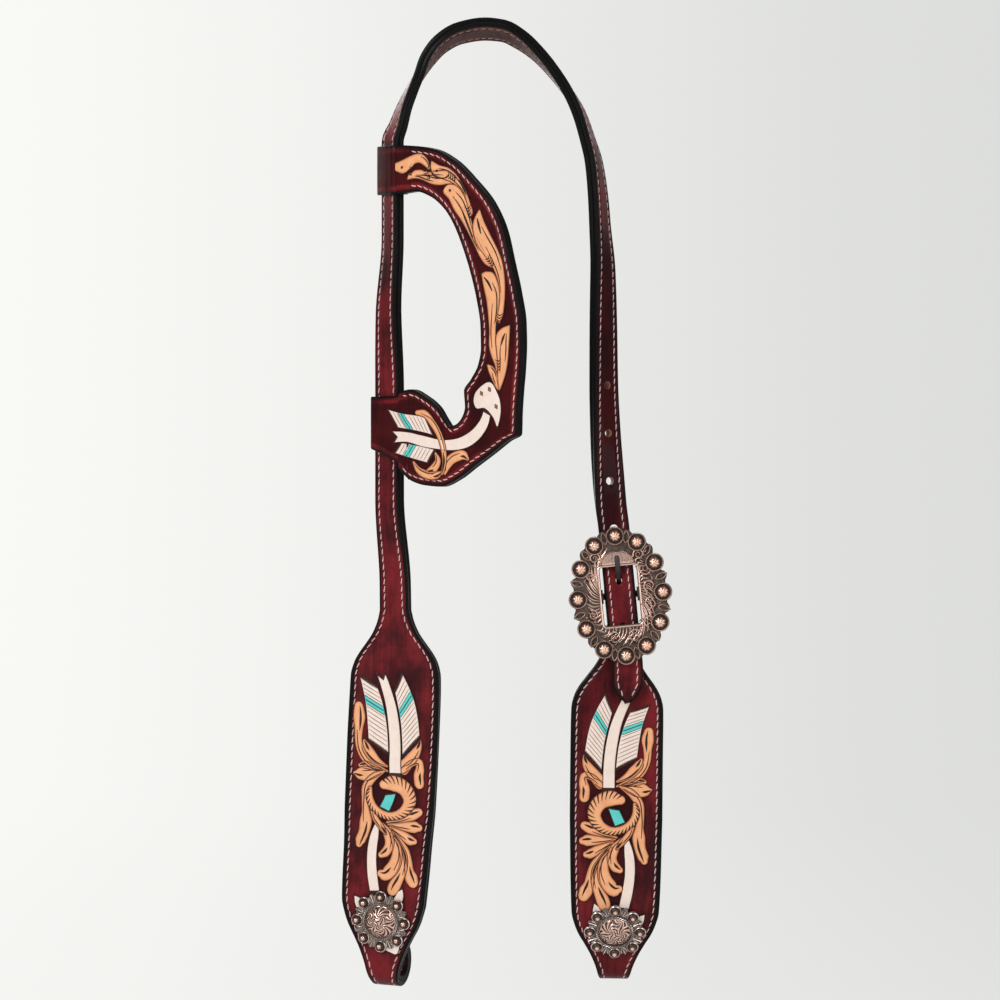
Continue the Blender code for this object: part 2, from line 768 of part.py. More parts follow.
def make_crown_strap(frames, screw, buckle, leather, lining):
    """Make both plies of the strap, from the left bit loop over the poll to the billet's tip."""
    left_base = frames[0]
    bent = bit_end(LEFT_BEND_RADIUS, LEFT_BEND_ANGLE).frames(left_base, -left_base.along)
    tail_first = list(reversed(bent[1:]))
    whole = with_close_tip(tail_first + frames, BILLET_POINT)
    lengths = lengths_along(whole)
    screw_length = lengths[len(tail_first)] - math.radians(LEFT_BEND_ANGLE) * LEFT_BEND_RADIUS - CLAMP_HALF
    halves = []
    for length in lengths:
        above_screw = length - screw_length
        if above_screw < LEFT_PADDLE_LENGTH + SHOULDER_LENGTH:
            halves.append(paddle_half_width(above_screw, LEFT_PADDLE_LENGTH))
        else:
            halves.append(billet_half_width(lengths[-1] - length))
    halves[0] -= EDGE_EASE
    middle = STRAP_THICKNESS / 2
    face = new_piece("crown_strap_face", strip_mesh(whole, halves, SEAM_GAP / 2, middle), leather, True)
    liner = new_piece("crown_strap_liner", strip_mesh(whole, halves, -middle, -SEAM_GAP / 2), lining, True)
    _, right_side = split_at_poll(frames)
    holes = [buckle.moved(along=TONGUE_EXIT - HOLE_SPACING)]
    for index in range(1, HOLES_ABOVE_BUCKLE + 1):
        holes.append(route_frame_at(right_side, BUCKLE_DROP - TONGUE_EXIT - index * HOLE_SPACING))
    punched = straight_cutter("billet_hole_cutter", holes, HOLE_RADIUS)
    slot = slot_outline(TONGUE_WIDTH + 2 * TONGUE_SIDE_GAP, TONGUE_HOLE_LENGTH)
    slot_place = buckle.moved(along=TONGUE_HOLE_RISE)
    slot_reach = STRAP_THICKNESS / 2 + OVERRUN
    slot_mesh = prism_mesh(slot, -slot_reach, slot_reach, slot_place, "outward")
    tongue_hole = new_piece("tongue_hole_cutter", slot_mesh)
    screw_hole = screw_cutter("left_screw_hole_cutter", screw)
    for ply in (face, liner):
        for guide in (punched, tongue_hole, screw_hole):
            shape_with(ply, guide, "DIFFERENCE")


def screw_cutter(name, screw):
    """Return the guide of the hole that a concho's post passes, through all plies of a bit end."""
    middle = screw.moved(outward=-(STRAP_THICKNESS + SEAM_GAP) / 2)
    return straight_cutter(name, [middle], POST_RADIUS + SEAM_GAP)


def ear_plate(lower, upper):
    """Return the flat frame of the ear piece: its point is the upper outer corner by the strap."""
    spread = math.radians(EAR_SPREAD)
    across = Vector((math.sin(spread), -math.cos(spread), 0))
    up = Vector((0, 0, 1))
    corner = lower.at(across=LOOP_HALF_WIDTH + SEAM_GAP, outward=EAR_SET)
    corner.z = upper.point.z + UPPER_LOOP_HEIGHT / 2
    return Frame(corner, up, across, across.cross(up))


def reach_clear_of(loop, plate):
    """Return where the ear piece's leather may start, just clear of a loop's side."""
    reaches = []
    for side in (-EAR_THICKNESS / 2, EAR_THICKNESS / 2):
        start = (plate.at(outward=side) - loop.point).dot(loop.across)
        reaches.append((LOOP_HALF_WIDTH + SEAM_GAP - start) / plate.across.dot(loop.across))
    return max(reaches)


def ear_rows(plate, upper, lower):
    """Return the ear piece's outer and inner edge places, from its upper loop to its lower one."""
    rows = [((reach * EAR_REACH, drop * EAR_HEIGHT), (inner_reach * EAR_REACH, inner_drop * EAR_HEIGHT))
            for (reach, drop), (inner_reach, inner_drop) in EAR_OUTLINE_SHARES]
    start = reach_clear_of(upper, plate)
    end = reach_clear_of(lower, plate)
    rows.insert(0, tuple((start, drop * EAR_HEIGHT) for drop in EAR_START_SHARES))
    rows.append(tuple((end, drop * EAR_HEIGHT) for drop in EAR_END_SHARES))
    return rows


def ear_frames(plate, rows):
    """Return the frames and half widths of the strip that runs round the ear opening."""
    middles = [Vector(outer).lerp(Vector(inner), 0.5) for outer, inner in rows]
    stations = [0.0]
    for before, after in zip(middles, middles[1:]):
        stations.append(stations[-1] + (after - before).length)
    columns = [Curve(stations, [row[edge][axis] for row in rows]) for edge in (0, 1) for axis in (0, 1)]
    frames = []
    halves = []
    for before, after in zip(stations, stations[1:]):
        for share in EAR_STATION_SHARES:
            add_ear_station(plate, columns, before + (after - before) * share, frames, halves)
    add_ear_station(plate, columns, stations[-1], frames, halves)
    return frames, halves


def add_ear_station(plate, columns, station, frames, halves):
    """Add the frame that joins the outer and the inner edge at one station."""
    outer_reach, outer_drop, inner_reach, inner_drop = (column(station) for column in columns)
    outer = plate.at(across=outer_reach, along=-outer_drop)
    inner = plate.at(across=inner_reach, along=-inner_drop)
    across = (outer - inner).normalized()
    frames.append(Frame(outer.lerp(inner, 0.5), plate.outward.cross(across), across, plate.outward))
    halves.append((outer - inner).length / 2)


def loop_outline(loop, plate):
    """Return a loop's outline round the strap, with the tab that lies behind the ear piece."""
    front = -EAR_THICKNESS / 2 - SEAM_GAP
    back = front - LOOP_PLY
    start = reach_clear_of(loop, plate)
    tab = []
    for depth, reach in ((back, None), (back, start + LOOP_TAB), (front, start + LOOP_TAB), (front, None)):
        if reach is None:
            missing = LOOP_HALF_WIDTH - (plate.at(outward=depth) - loop.point).dot(loop.across)
            reach = missing / plate.across.dot(loop.across)
        place = plate.at(across=reach, outward=depth) - loop.point
        tab.append((place.dot(loop.across), place.dot(loop.outward)))
    wide = LOOP_HALF_WIDTH
    deep = STRAP_THICKNESS / 2 + LOOP_EASE + LOOP_PLY
    return [(-wide, -deep), (wide, -deep), *tab, (wide, deep), (-wide, deep)]


def make_ear_piece(upper, lower, leather, lining):
    """Make the slip ear piece: two plies round the ear opening and a loop at either end."""
    plate = ear_plate(lower, upper)
    frames, halves = ear_frames(plate, ear_rows(plate, upper, lower))
    half = EAR_THICKNESS / 2
    face = new_piece("ear_piece_face", strip_mesh(frames, halves, SEAM_GAP / 2, half), leather, True)
    liner = new_piece("ear_piece_liner", strip_mesh(frames, halves, -half, -SEAM_GAP / 2), lining, True)
    pieces = [face, liner]
    bore_width = STRAP_WIDTH + 2 * LOOP_EASE
    bore_depth = STRAP_THICKNESS + 2 * LOOP_EASE
    for name, loop, height in (
        ("upper_ear_loop", upper, UPPER_LOOP_HEIGHT),
        ("lower_ear_loop", lower, LOWER_LOOP_HEIGHT),
    ):
        mesh = prism_mesh(loop_outline(loop, plate), -height / 2, height / 2, loop)
        bore = box_mesh(loop, bore_width, height + 2 * OVERRUN, bore_depth)
        bore_cutter = new_piece(name + "_cutter", bore)
        pieces.append(shape_with(new_piece(name, mesh, leather), bore_cutter, "DIFFERENCE"))
    for piece in pieces:
        set_origin(piece, upper.point)


def cheek_knots():
    """Return the way of the right cheek piece, from the heel bar down to its bend."""
    lean = math.tan(math.radians(BUCKLE_LEAN))
    knots = [(0, 0, FACING_FRONT), (FOLD_STEP_LENGTH * lean, -FOLD_STEP_LENGTH, FACING_FRONT)]
    knots += [(x * NECK_SHIFT, -z * RIGHT_CHEEK_DROP, FACING_FRONT) for x, z in NECK_SHARES]
    return knots


def fold_view(leg, liner_forward):
    """Return the liner's side view where it folds round the heel bar, from its tail's end."""
    tail_forward = liner_forward - PLY - SEAM_GAP
    start = FOLD_TAIL + FOLD_TAIL_STEP + FOLD_TAIL_STEP_DROP
    view = SideView(down=start, forward=tail_forward, heading=math.pi)
    view.run(FOLD_TAIL)
    view.step_over(FOLD_TAIL_STEP, leg + tail_forward)
    view.run(FOLD_TAIL_STEP_DROP)
    view.turn(leg, 180)
    view.run(FOLD_STEP_DROP - FOLD_STEP_LENGTH)
    view.step_over(FOLD_STEP_LENGTH, liner_forward - leg)
    return view


def make_right_cheek(buckle, bar, leather, lining):
    """Make both plies of the right cheek piece and return its screw's frame."""
    hang = Frame(bar.point, -bar.along, -bar.across, bar.outward)
    to_middle = BAR_DEPTH - STRAP_THICKNESS - SEAM_GAP
    way = [frame.moved(outward=to_middle) for frame in even_frames(cheek_knots(), hang.point)]
    way = [frame for frame in way if hang.point.z - frame.point.z > FOLD_STEP_DROP + SEAM_GAP]
    base = way[-1]
    bent = bit_end(RIGHT_BEND_RADIUS, RIGHT_BEND_ANGLE).frames(base, base.along)
    whole = way + bent[1:]
    lengths = lengths_along(whole)
    screw_length = lengths[len(way) - 1] + math.radians(RIGHT_BEND_ANGLE) * RIGHT_BEND_RADIUS + CLAMP_HALF
    halves = [paddle_half_width(screw_length - length, RIGHT_PADDLE_LENGTH) for length in lengths]
    halves[-1] -= EDGE_EASE
    middle = STRAP_THICKNESS / 2
    face = new_piece("right_cheek_face", strip_mesh(whole, halves, SEAM_GAP / 2, middle), leather, True)
    to_liner = -(PLY + SEAM_GAP) / 2
    fold = fold_view(BAR_RADIUS + BAR_EASE + PLY / 2, to_middle + to_liner).frames(hang, hang.along)
    lined = fold + [frame.moved(outward=to_liner) for frame in whole]
    lined_halves = [STRAP_WIDTH / 2] * len(fold) + halves
    lined_halves[0] -= EDGE_EASE
    liner = new_piece("right_cheek_liner", strip_mesh(lined, lined_halves, -PLY / 2, PLY / 2), lining, True)
    screw = screw_frame(base, base.along, RIGHT_BEND_RADIUS, RIGHT_BEND_ANGLE)
    screw_hole = screw_cutter("right_screw_hole_cutter", screw)
    shape_with(face, screw_hole, "DIFFERENCE")
    shape_with(liner, screw_hole, "DIFFERENCE")
    slot_low = TONGUE_EYE_RADIUS + SLOT_END_GAP
    slot_high = BAR_RADIUS + BAR_EASE + PLY + OVERRUN
    slot_place = hang.moved(along=(slot_low - slot_high) / 2)
    slot = box_mesh(slot_place, FOLD_SLOT_WIDTH, slot_low + slot_high, 2 * slot_high)
    shape_with(liner, new_piece("fold_slot_cutter", slot), "DIFFERENCE")
    for piece in (face, liner):
        set_origin(piece, bar.point)
    return screw


def disc_reach(direction, centre, radius):
    """Return how far a ray from the middle runs before it leaves a disc, or 0 if it misses it."""
    along = centre[0] * direction[0] + centre[1] * direction[1]
    inside = radius ** 2 - (centre[0] ** 2 + centre[1] ** 2 - along ** 2)
    if inside < 0 or along < 0:
        return 0.0
    return along + math.sqrt(inside)


def opening_reach(direction):
    """Return how far a ray from the middle runs to the edge of the buckle's rounded opening."""
    wide = OPENING_WIDTH / 2
    high = OPENING_HEIGHT / 2
    right = max(abs(direction[0]), WELD)
    up = max(abs(direction[1]), WELD)
    flat = min(wide / right, high / up)
    corner = (wide - OPENING_CORNER, high - OPENING_CORNER)
    if flat * right > corner[0] and flat * up > corner[1]:
        return disc_reach((right, up), corner, OPENING_CORNER)
    return flat


def berry_place(turns, ring_share=1.0):
    """Return a place on the oval of berries, clockwise from its top, in whole turns."""
    angle = math.tau * turns
    return (
        BERRY_RING_WIDTH / 2 * ring_share * math.sin(angle),
        BERRY_RING_HEIGHT / 2 * ring_share * math.cos(angle),
    )


def concho_place(turns, ring_share=1.0):
    """Return a place on a concho's ring of berries, clockwise from its top, in whole turns."""
    angle = math.tau * turns
    ring = CONCHO_BERRY_RING * ring_share
    return (ring * math.sin(angle), ring * math.cos(angle))


def concho_reach(direction):
    """Return how far a ray from the middle runs to the outer edge of a concho's plate."""
    reaches = [CONCHO_WEB_RADIUS]
    for index in range(CONCHO_BERRY_COUNT):
        reaches.append(disc_reach(direction, concho_place(index / CONCHO_BERRY_COUNT), CONCHO_CUP_RADIUS))
        petal = concho_place((index + 0.5) / CONCHO_BERRY_COUNT, CONCHO_PETAL_RING_SHARE)
        reaches.append(disc_reach(direction, petal, CONCHO_PETAL_RADIUS))
    return max(reaches)


def collar_reach(_):
    """Return how far the inside of a concho's collar lies from its middle."""
    return CONCHO_DOME_RADIUS + SEAM_GAP


def frame_reach(direction):
    """Return how far a ray from the middle runs to the outer edge of the buckle frame."""
    wide = BERRY_RING_WIDTH / 2
    high = BERRY_RING_HEIGHT / 2
    reaches = [1 / math.hypot(direction[0] / wide, direction[1] / high)]
    for index in range(BERRY_COUNT):
        reaches.append(disc_reach(direction, berry_place(index / BERRY_COUNT), BERRY_CUP_RADIUS))
        petal = berry_place((index + 0.5) / BERRY_COUNT, PETAL_RING_SHARE)
        reaches.append(disc_reach(direction, petal, PETAL_RADIUS))
    return max(reaches)


def level_rings(mesh, place, levels, directions):
    """Add one ring of points for each level and join them: a level is a reach, its growth and a height."""
    rings = []
    for reach, grow, height in levels:
        ring = []
        for direction in directions:
            distance = reach(direction) + grow
            ring.append(mesh.verts.new(place.at(direction.x * distance, direction.y * distance, height)))
        rings.append(ring)
    for ring, following in zip(rings, rings[1:]):
        join_rings(mesh, ring, following)
    return rings


def join_rings(mesh, ring, following):
    """Join two rings of as many points each with faces."""
    for index in range(len(ring)):
        after = (index + 1) % len(ring)
        mesh.faces.new((ring[index], ring[after], following[after], following[index]))


def buckle_plate_mesh(place):
    """Return the buckle's plate: a scalloped oval with eased edges round a rounded opening."""
    mesh = bmesh.new()
    count = BERRY_COUNT * FRAME_POINTS_PER_BERRY
    levels = (
        (frame_reach, 0, 0),
        (frame_reach, 0, FRAME_THICKNESS - FRAME_EASE),
        (frame_reach, -FRAME_EASE, FRAME_THICKNESS),
        (opening_reach, FRAME_EASE, FRAME_THICKNESS),
        (opening_reach, 0, FRAME_THICKNESS - FRAME_EASE),
        (opening_reach, 0, 0),
    )
    directions = [Vector(berry_place(index / count)).normalized() for index in range(count)]
    rings = level_rings(mesh, place, levels, directions)
    join_rings(mesh, rings[-1], rings[0])
    return mesh


def concho_plate_mesh(place):
    """Return a concho's plate: a scalloped disc with a raised collar round the seat of its dome."""
    mesh = bmesh.new()
    count = CONCHO_BERRY_COUNT * CONCHO_POINTS_PER_BERRY
    raised = CONCHO_PLATE + CONCHO_COLLAR_HEIGHT
    levels = (
        (concho_reach, -CONCHO_EASE, 0),
        (concho_reach, 0, CONCHO_EASE),
        (concho_reach, 0, CONCHO_PLATE - CONCHO_EASE),
        (concho_reach, -CONCHO_EASE, CONCHO_PLATE),
        (collar_reach, CONCHO_COLLAR_WIDTH, CONCHO_PLATE),
        (collar_reach, CONCHO_COLLAR_WIDTH - CONCHO_COLLAR_EASE, raised),
        (collar_reach, CONCHO_COLLAR_EASE, raised),
        (collar_reach, 0, CONCHO_PLATE),
    )
    directions = [Vector(concho_place(index / count)).normalized() for index in range(count)]
    rings = level_rings(mesh, place, levels, directions)
    mesh.faces.new(rings[0])
    mesh.faces.new(rings[-1])
    return mesh


def dome_profile(radius, height, steps):
    """Return the profile of a dome on a flat base."""
    profile = [(0, 0)]
    for index in range(steps + 1):
        angle = math.pi / 2 * index / steps
        profile.append((radius * math.cos(angle), height * math.sin(angle)))
    profile[-1] = (0, height)
    return profile


def make_buckle(buckle, bar, gunmetal, copper, steel):
    """Make the berry buckle: frame with its two lugs, berries and heel bar."""
    plate = buckle.moved(outward=STRAP_THICKNESS / 2 + FRAME_STANDOFF)
    frame_piece = new_piece("buckle_frame", buckle_plate_mesh(plate), gunmetal, True)
    lug_low = -BAR_DEPTH - LUG_BEYOND_BAR
    lug_high = STRAP_THICKNESS / 2 + FRAME_STANDOFF + EMBED
    lug_side = STRAP_WIDTH / 2 + EAR_LUG_EASE + LUG_WIDTH / 2
    lugs = []
    for side in (-1, 1):
        middle = buckle.moved(across=side * lug_side, outward=(lug_low + lug_high) / 2)
        lugs.append(box_mesh(middle, LUG_WIDTH, LUG_HEIGHT, lug_high - lug_low))
    shape_with(frame_piece, new_piece("lug_union_guide", gathered(lugs)), "UNION")
    outside = 2 * lug_side + LUG_WIDTH
    bore = rod_mesh(bar, bar.across, BAR_RADIUS + PIN_GAP, outside + 2 * OVERRUN, HOLE_STEPS)
    shape_with(frame_piece, new_piece("bar_bore_cutter", bore), "DIFFERENCE")
    new_piece("heel_bar", rod_mesh(bar, bar.across, BAR_RADIUS, outside, HOLE_STEPS), steel, True)
    seat = plate.moved(outward=FRAME_THICKNESS + SEAM_GAP)
    profile = dome_profile(BERRY_RADIUS, BERRY_HEIGHT, BERRY_DOME_STEPS)
    for index in range(BERRY_COUNT):
        right, up = berry_place(index / BERRY_COUNT)
        berry = turned_mesh(seat.moved(across=right, along=up), profile, SMALL_ROUND_STEPS)
        new_piece(f"buckle_berry_{index + 1:02d}", berry, copper, True)


def make_tongue(bar, steel):
    """Make the tongue: an eye on the heel bar and a bent prong through the billet's hole."""
    lift = (BAR_DEPTH + STRAP_THICKNESS / 2 + FRAME_STANDOFF + FRAME_THICKNESS + SEAM_GAP
            + TONGUE_THICKNESS / 2)
    rises = [rise * TONGUE_TIP for rise, _ in TONGUE_SHARES]
    forwards = [forward * lift for _, forward in TONGUE_SHARES]
    way = Curve(rises, forwards)
    steps = 2 * len(rises)
    places = []
    for index in range(steps + 1):
        rise = rises[0] + (rises[-1] - rises[0]) * index / steps
        places.append(bar.at(along=rise, outward=way(rise)))
    frames = []
    for index, place in enumerate(places):
        before = places[max(0, index - 1)]
        after = places[min(steps, index + 1)]
        along = (after - before).normalized()
        frames.append(Frame(place, along, bar.across, bar.across.cross(along)))
    halves = [TONGUE_WIDTH / 2] * len(frames)
    halves[-1] -= EDGE_EASE / 2
    prong = strip_mesh(frames, halves, -TONGUE_THICKNESS / 2, TONGUE_THICKNESS / 2)
    tongue = new_piece("buckle_tongue", prong, steel, True)
    bore = BAR_RADIUS + PIN_GAP
    half = TONGUE_WIDTH / 2 + EDGE_EASE / 2
    eye_profile = [(bore, -half), (TONGUE_EYE_RADIUS, -half), (TONGUE_EYE_RADIUS, half), (bore, half)]
    sideways = Frame(bar.point, bar.outward, bar.along, bar.across)
    eye = turned_mesh(sideways, eye_profile, HOLE_STEPS)
    shape_with(tongue, new_piece("tongue_eye_union_guide", eye), "UNION")
    set_origin(tongue, bar.point)


def make_concho(side, screw, gunmetal, copper, steel):
    """Make one screwed concho: its plate, dome and berries, and the post and screw behind it."""
    seat = screw.moved(outward=STRAP_THICKNESS / 2 + SEAM_GAP)
    new_piece(side + "_concho", concho_plate_mesh(seat), gunmetal, True)
    top = seat.moved(outward=CONCHO_PLATE + SEAM_GAP)
    dome = dome_profile(CONCHO_DOME_RADIUS, CONCHO_DOME_HEIGHT, CONCHO_DOME_STEPS)
    new_piece(side + "_concho_dome", turned_mesh(top, dome, ROUND_STEPS), copper, True)
    profile = dome_profile(CONCHO_BERRY_RADIUS, CONCHO_BERRY_HEIGHT, CONCHO_BERRY_DOME_STEPS)
    for index in range(CONCHO_BERRY_COUNT):
        right, up = concho_place(index / CONCHO_BERRY_COUNT)
        berry = turned_mesh(top.moved(across=right, along=up), profile, SMALL_ROUND_STEPS)
        new_piece(f"{side}_concho_berry_{index + 1}", berry, copper, True)
    leather_back = -2 * STRAP_THICKNESS - 2 * SEAM_GAP
    bore_top = -SEAM_GAP - POST_TOP
    post_profile = [
        (0, -SEAM_GAP),
        (POST_RADIUS, -SEAM_GAP),
        (POST_RADIUS, leather_back),
        (POST_BORE, leather_back),
        (POST_BORE, bore_top),
        (0, bore_top),
    ]
    new_piece(side + "_concho_post", turned_mesh(seat, post_profile, HOLE_STEPS), steel, True)
    head_top = leather_back - SEAM_GAP
    head_back = head_top - SCREW_HEAD_HEIGHT
    head_ease = SCREW_SLOT_DEPTH / 2
    screw_profile = [
        (0, bore_top - SEAM_GAP),
        (SCREW_RADIUS, bore_top - SEAM_GAP),
        (SCREW_RADIUS, head_top),
        (SCREW_HEAD_RADIUS, head_top),
        (SCREW_HEAD_RADIUS, head_back + head_ease),
        (SCREW_HEAD_RADIUS - head_ease, head_back),
        (0, head_back),
    ]
    turned = turned_mesh(seat, screw_profile, HOLE_STEPS)
    screw_piece = new_piece(side + "_concho_screw", turned, steel, True)
    slot_place = seat.moved(outward=head_back)
    slot_length = 2 * SCREW_HEAD_RADIUS + 2 * OVERRUN
    slot = box_mesh(slot_place, slot_length, SCREW_SLOT_WIDTH, 2 * SCREW_SLOT_DEPTH)
    shape_with(screw_piece, new_piece(side + "_screw_slot_cutter", slot), "DIFFERENCE")


def main():
    """Model the headstall."""
    clear_scene()
    leather = finish_material("burgundy_leather")
    lining = finish_material("black_lining")
    ear_leather = finish_material("ear_leather")
    gunmetal = finish_material("antique_gunmetal")
    copper = finish_material("antique_copper")
    steel = finish_material("worn_steel")
    frames = even_frames(crown_knots(), POLL_OFFSET)
    left_side, right_side = split_at_poll(frames)
    billet = route_frame_at(right_side, BUCKLE_DROP)
    buckle = Frame(billet.point, -billet.along, -billet.across, billet.outward)
    bar = buckle.moved(outward=-BAR_DEPTH)
    left_screw = screw_frame(frames[0], -frames[0].along, LEFT_BEND_RADIUS, LEFT_BEND_ANGLE)
    make_crown_strap(frames, left_screw, buckle, leather, lining)
    upper = route_frame_at(left_side, UPPER_LOOP_DROP)
    lower = route_frame_at(left_side, lower_loop_drop())
    make_ear_piece(upper, lower, ear_leather, lining)
    right_screw = make_right_cheek(buckle, bar, leather, lining)
    make_buckle(buckle, bar, gunmetal, copper, steel)
    make_tongue(bar, steel)
    make_concho("left", left_screw, gunmetal, copper, steel)
    make_concho("right", right_screw, gunmetal, copper, steel)


if __name__ == "__main__":
    main()
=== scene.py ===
"""Looks of a western headstall with a slip ear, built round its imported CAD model.

Every piece is worked out on numpy grids in the frame of the CAD model, in metres. A strap is a
profile carried along its way, tooling is a set of thin patches laid on the leather, and metal
ornaments are turned or drawn in the plane that they are cast in.
"""

from __future__ import annotations

import logging
import math
from dataclasses import dataclass, field, replace
from enum import Enum
from functools import cache
from typing import Protocol, Sequence

import bmesh
import bpy
import numpy as np
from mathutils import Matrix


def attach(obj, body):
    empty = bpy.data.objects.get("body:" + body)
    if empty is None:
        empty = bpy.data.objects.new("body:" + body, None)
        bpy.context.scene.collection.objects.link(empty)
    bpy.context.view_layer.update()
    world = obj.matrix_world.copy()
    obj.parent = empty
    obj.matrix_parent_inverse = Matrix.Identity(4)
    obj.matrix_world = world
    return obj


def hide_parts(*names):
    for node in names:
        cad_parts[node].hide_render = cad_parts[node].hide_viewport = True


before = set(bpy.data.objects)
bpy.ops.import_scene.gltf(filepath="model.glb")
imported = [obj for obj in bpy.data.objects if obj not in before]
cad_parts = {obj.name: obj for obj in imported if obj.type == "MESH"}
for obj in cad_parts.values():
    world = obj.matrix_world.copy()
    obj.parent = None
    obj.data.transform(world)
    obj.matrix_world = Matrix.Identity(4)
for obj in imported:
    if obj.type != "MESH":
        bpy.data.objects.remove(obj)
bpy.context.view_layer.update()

LOG = logging.getLogger("headstall")
MM = 0.001
Colour = tuple[float, float, float]
Control = tuple[float, float, float]
Array = np.ndarray
Values = Array | float
Socket = bpy.types.NodeSocket


class Body(Enum):
    """The bodies that pieces ride on."""

    CROWN = "crown"
    EAR = "ear_piece"
    CHEEK = "right_cheek"


class Slot(Enum):
    """The record's material slots."""

    LEATHER = "burgundy_leather"
    EAR_LEATHER = "ear_leather"
    LINING = "black_lining"
    GUNMETAL = "antique_gunmetal"
    COPPER = "antique_copper"


# ---- curves ----


class Curve:
    """A smooth curve through rows of values: a cubic between stations, with chosen slopes."""

    def __init__(self, stations: Sequence[float], values: Sequence, steady: bool = True) -> None:
        """Work out the slope at each station.

        Args:
            stations: Where the values stand, rising.
            values: One value or one row of values for each station.
            steady: True for slopes that never swing past the values, False for rounder ones.
        """
        self.stations = np.asarray(stations, float)
        self.values = np.asarray(values, float).reshape(len(self.stations), -1)
        step = np.diff(self.stations)[:, None]
        rise = np.diff(self.values, axis=0) / step
        if steady:
            before, after = 2 * step[1:] + step[:-1], step[1:] + 2 * step[:-1]
            same = rise[:-1] * rise[1:] > 0
            safe_low, safe_high = np.where(same, rise[:-1], 1.0), np.where(same, rise[1:], 1.0)
            inner = np.where(same, (before + after) / (before / safe_low + after / safe_high), 0.0)
        else:
            inner = (rise[:-1] * step[1:] + rise[1:] * step[:-1]) / (step[1:] + step[:-1])
        self.slopes = np.concatenate([rise[:1], inner, rise[-1:]])

    def __call__(self, at: Array) -> Array:
        """Return the values at stations, held beyond the ends.

        Args:
            at: Stations, in any shape.

        Returns:
            Values with one more axis than the stations, or the same shape for a single column.
        """
        at = np.clip(np.asarray(at, float), self.stations[0], self.stations[-1])
        index = np.clip(np.searchsorted(self.stations, at, side="right") - 1, 0, len(self.stations) - 2)
        step = (self.stations[index + 1] - self.stations[index])[..., None]
        t = (at - self.stations[index])[..., None] / step
        made = (1 + 2 * t) * (1 - t) ** 2 * self.values[index] + t * t * (3 - 2 * t) * self.values[index + 1]
        made += t * (1 - t) ** 2 * step * self.slopes[index] + t * t * (t - 1) * step * self.slopes[index + 1]
        return made[..., 0] if self.values.shape[1] == 1 else made


def chords(points: Array) -> Array:
    """Return how far along a row of points each one lies, from the sum of the steps between them."""
    return np.concatenate([[0.0], np.cumsum(np.linalg.norm(np.diff(points, axis=0), axis=1))])


def unit(vectors: Array) -> Array:
    """Return vectors of length one."""
    return vectors / np.linalg.norm(vectors, axis=-1, keepdims=True)


def rows_of(*columns: Values) -> Array:
    """Return columns side by side as rows of places, each one spread to the others' shape."""
    return np.stack(np.broadcast_arrays(*columns), axis=-1)


def read_rows(at: Values, marks: Array, rows: Array) -> Array:
    """Return rows that are given at rising marks, read at other places on straight lines between them."""
    return np.stack([np.interp(at, marks, column) for column in rows.T], axis=-1)


class Ground(Protocol):
    """Something that pieces are laid on."""

    def place(self, x: Values, y: Values, h: Values) -> Array:
        """Return world places of x across, y along and h above the ground."""
        ...


@dataclass(frozen=True)
class Plane:
    """A flat ground: its origin and its directions right, up and out."""

    origin: Array
    right: Array
    up: Array
    out: Array

    def place(self, x: Values, y: Values, h: Values) -> Array:
        """Return origin plus right times x, up times y and out times h."""
        x, y, h = np.broadcast_arrays(x, y, h)
        return self.origin + x[..., None] * self.right + y[..., None] * self.up + h[..., None] * self.out

    def raised(self, height: float) -> Plane:
        """Return the same plane moved outwards."""
        return replace(self, origin=self.origin + height * self.out)


@dataclass(frozen=True)
class Way:
    """The middle line of a strap: points, widthwise directions and outer sides, one row a station."""

    point: Array
    across: Array
    outward: Array

    def rows(self) -> tuple[Array, Array, Array]:
        """Return the points, the widthwise directions and the outer sides."""
        return self.point, self.across, self.outward

    @property
    def length(self) -> Array:
        """How far along the strap each station lies."""
        return chords(self.point)

    def place(self, x: Values, y: Values, h: Values) -> Array:
        """Return the point at length y plus its width direction times x and its outer side times h."""
        x, y, h = np.broadcast_arrays(x, y, h)
        length = self.length
        point, across, outward = (read_rows(y, length, rows) for rows in self.rows())
        return point + across * x[..., None] + outward * h[..., None]

    def then(self, other: Way) -> Way:
        """Return this way followed by another that starts where it ends."""
        return Way(*(np.concatenate([own, rows[1:]]) for own, rows in zip(self.rows(), other.rows())))

    def back(self) -> Way:
        """Return the way walked from its other end."""
        return Way(*(rows[::-1] for rows in self.rows()))

    def raised(self, height: float) -> Way:
        """Return the way moved towards its outer side."""
        return replace(self, point=self.point + self.outward * height)

    def plane(self, y: float) -> Plane:
        """Return the flat ground that touches the way at one length, with up along the way."""
        index = int(np.argmin(np.abs(self.length - y)))
        right, out = unit(self.across[index]), unit(self.outward[index])
        return Plane(self.place(0.0, y, 0.0), right, np.cross(out, right), out)


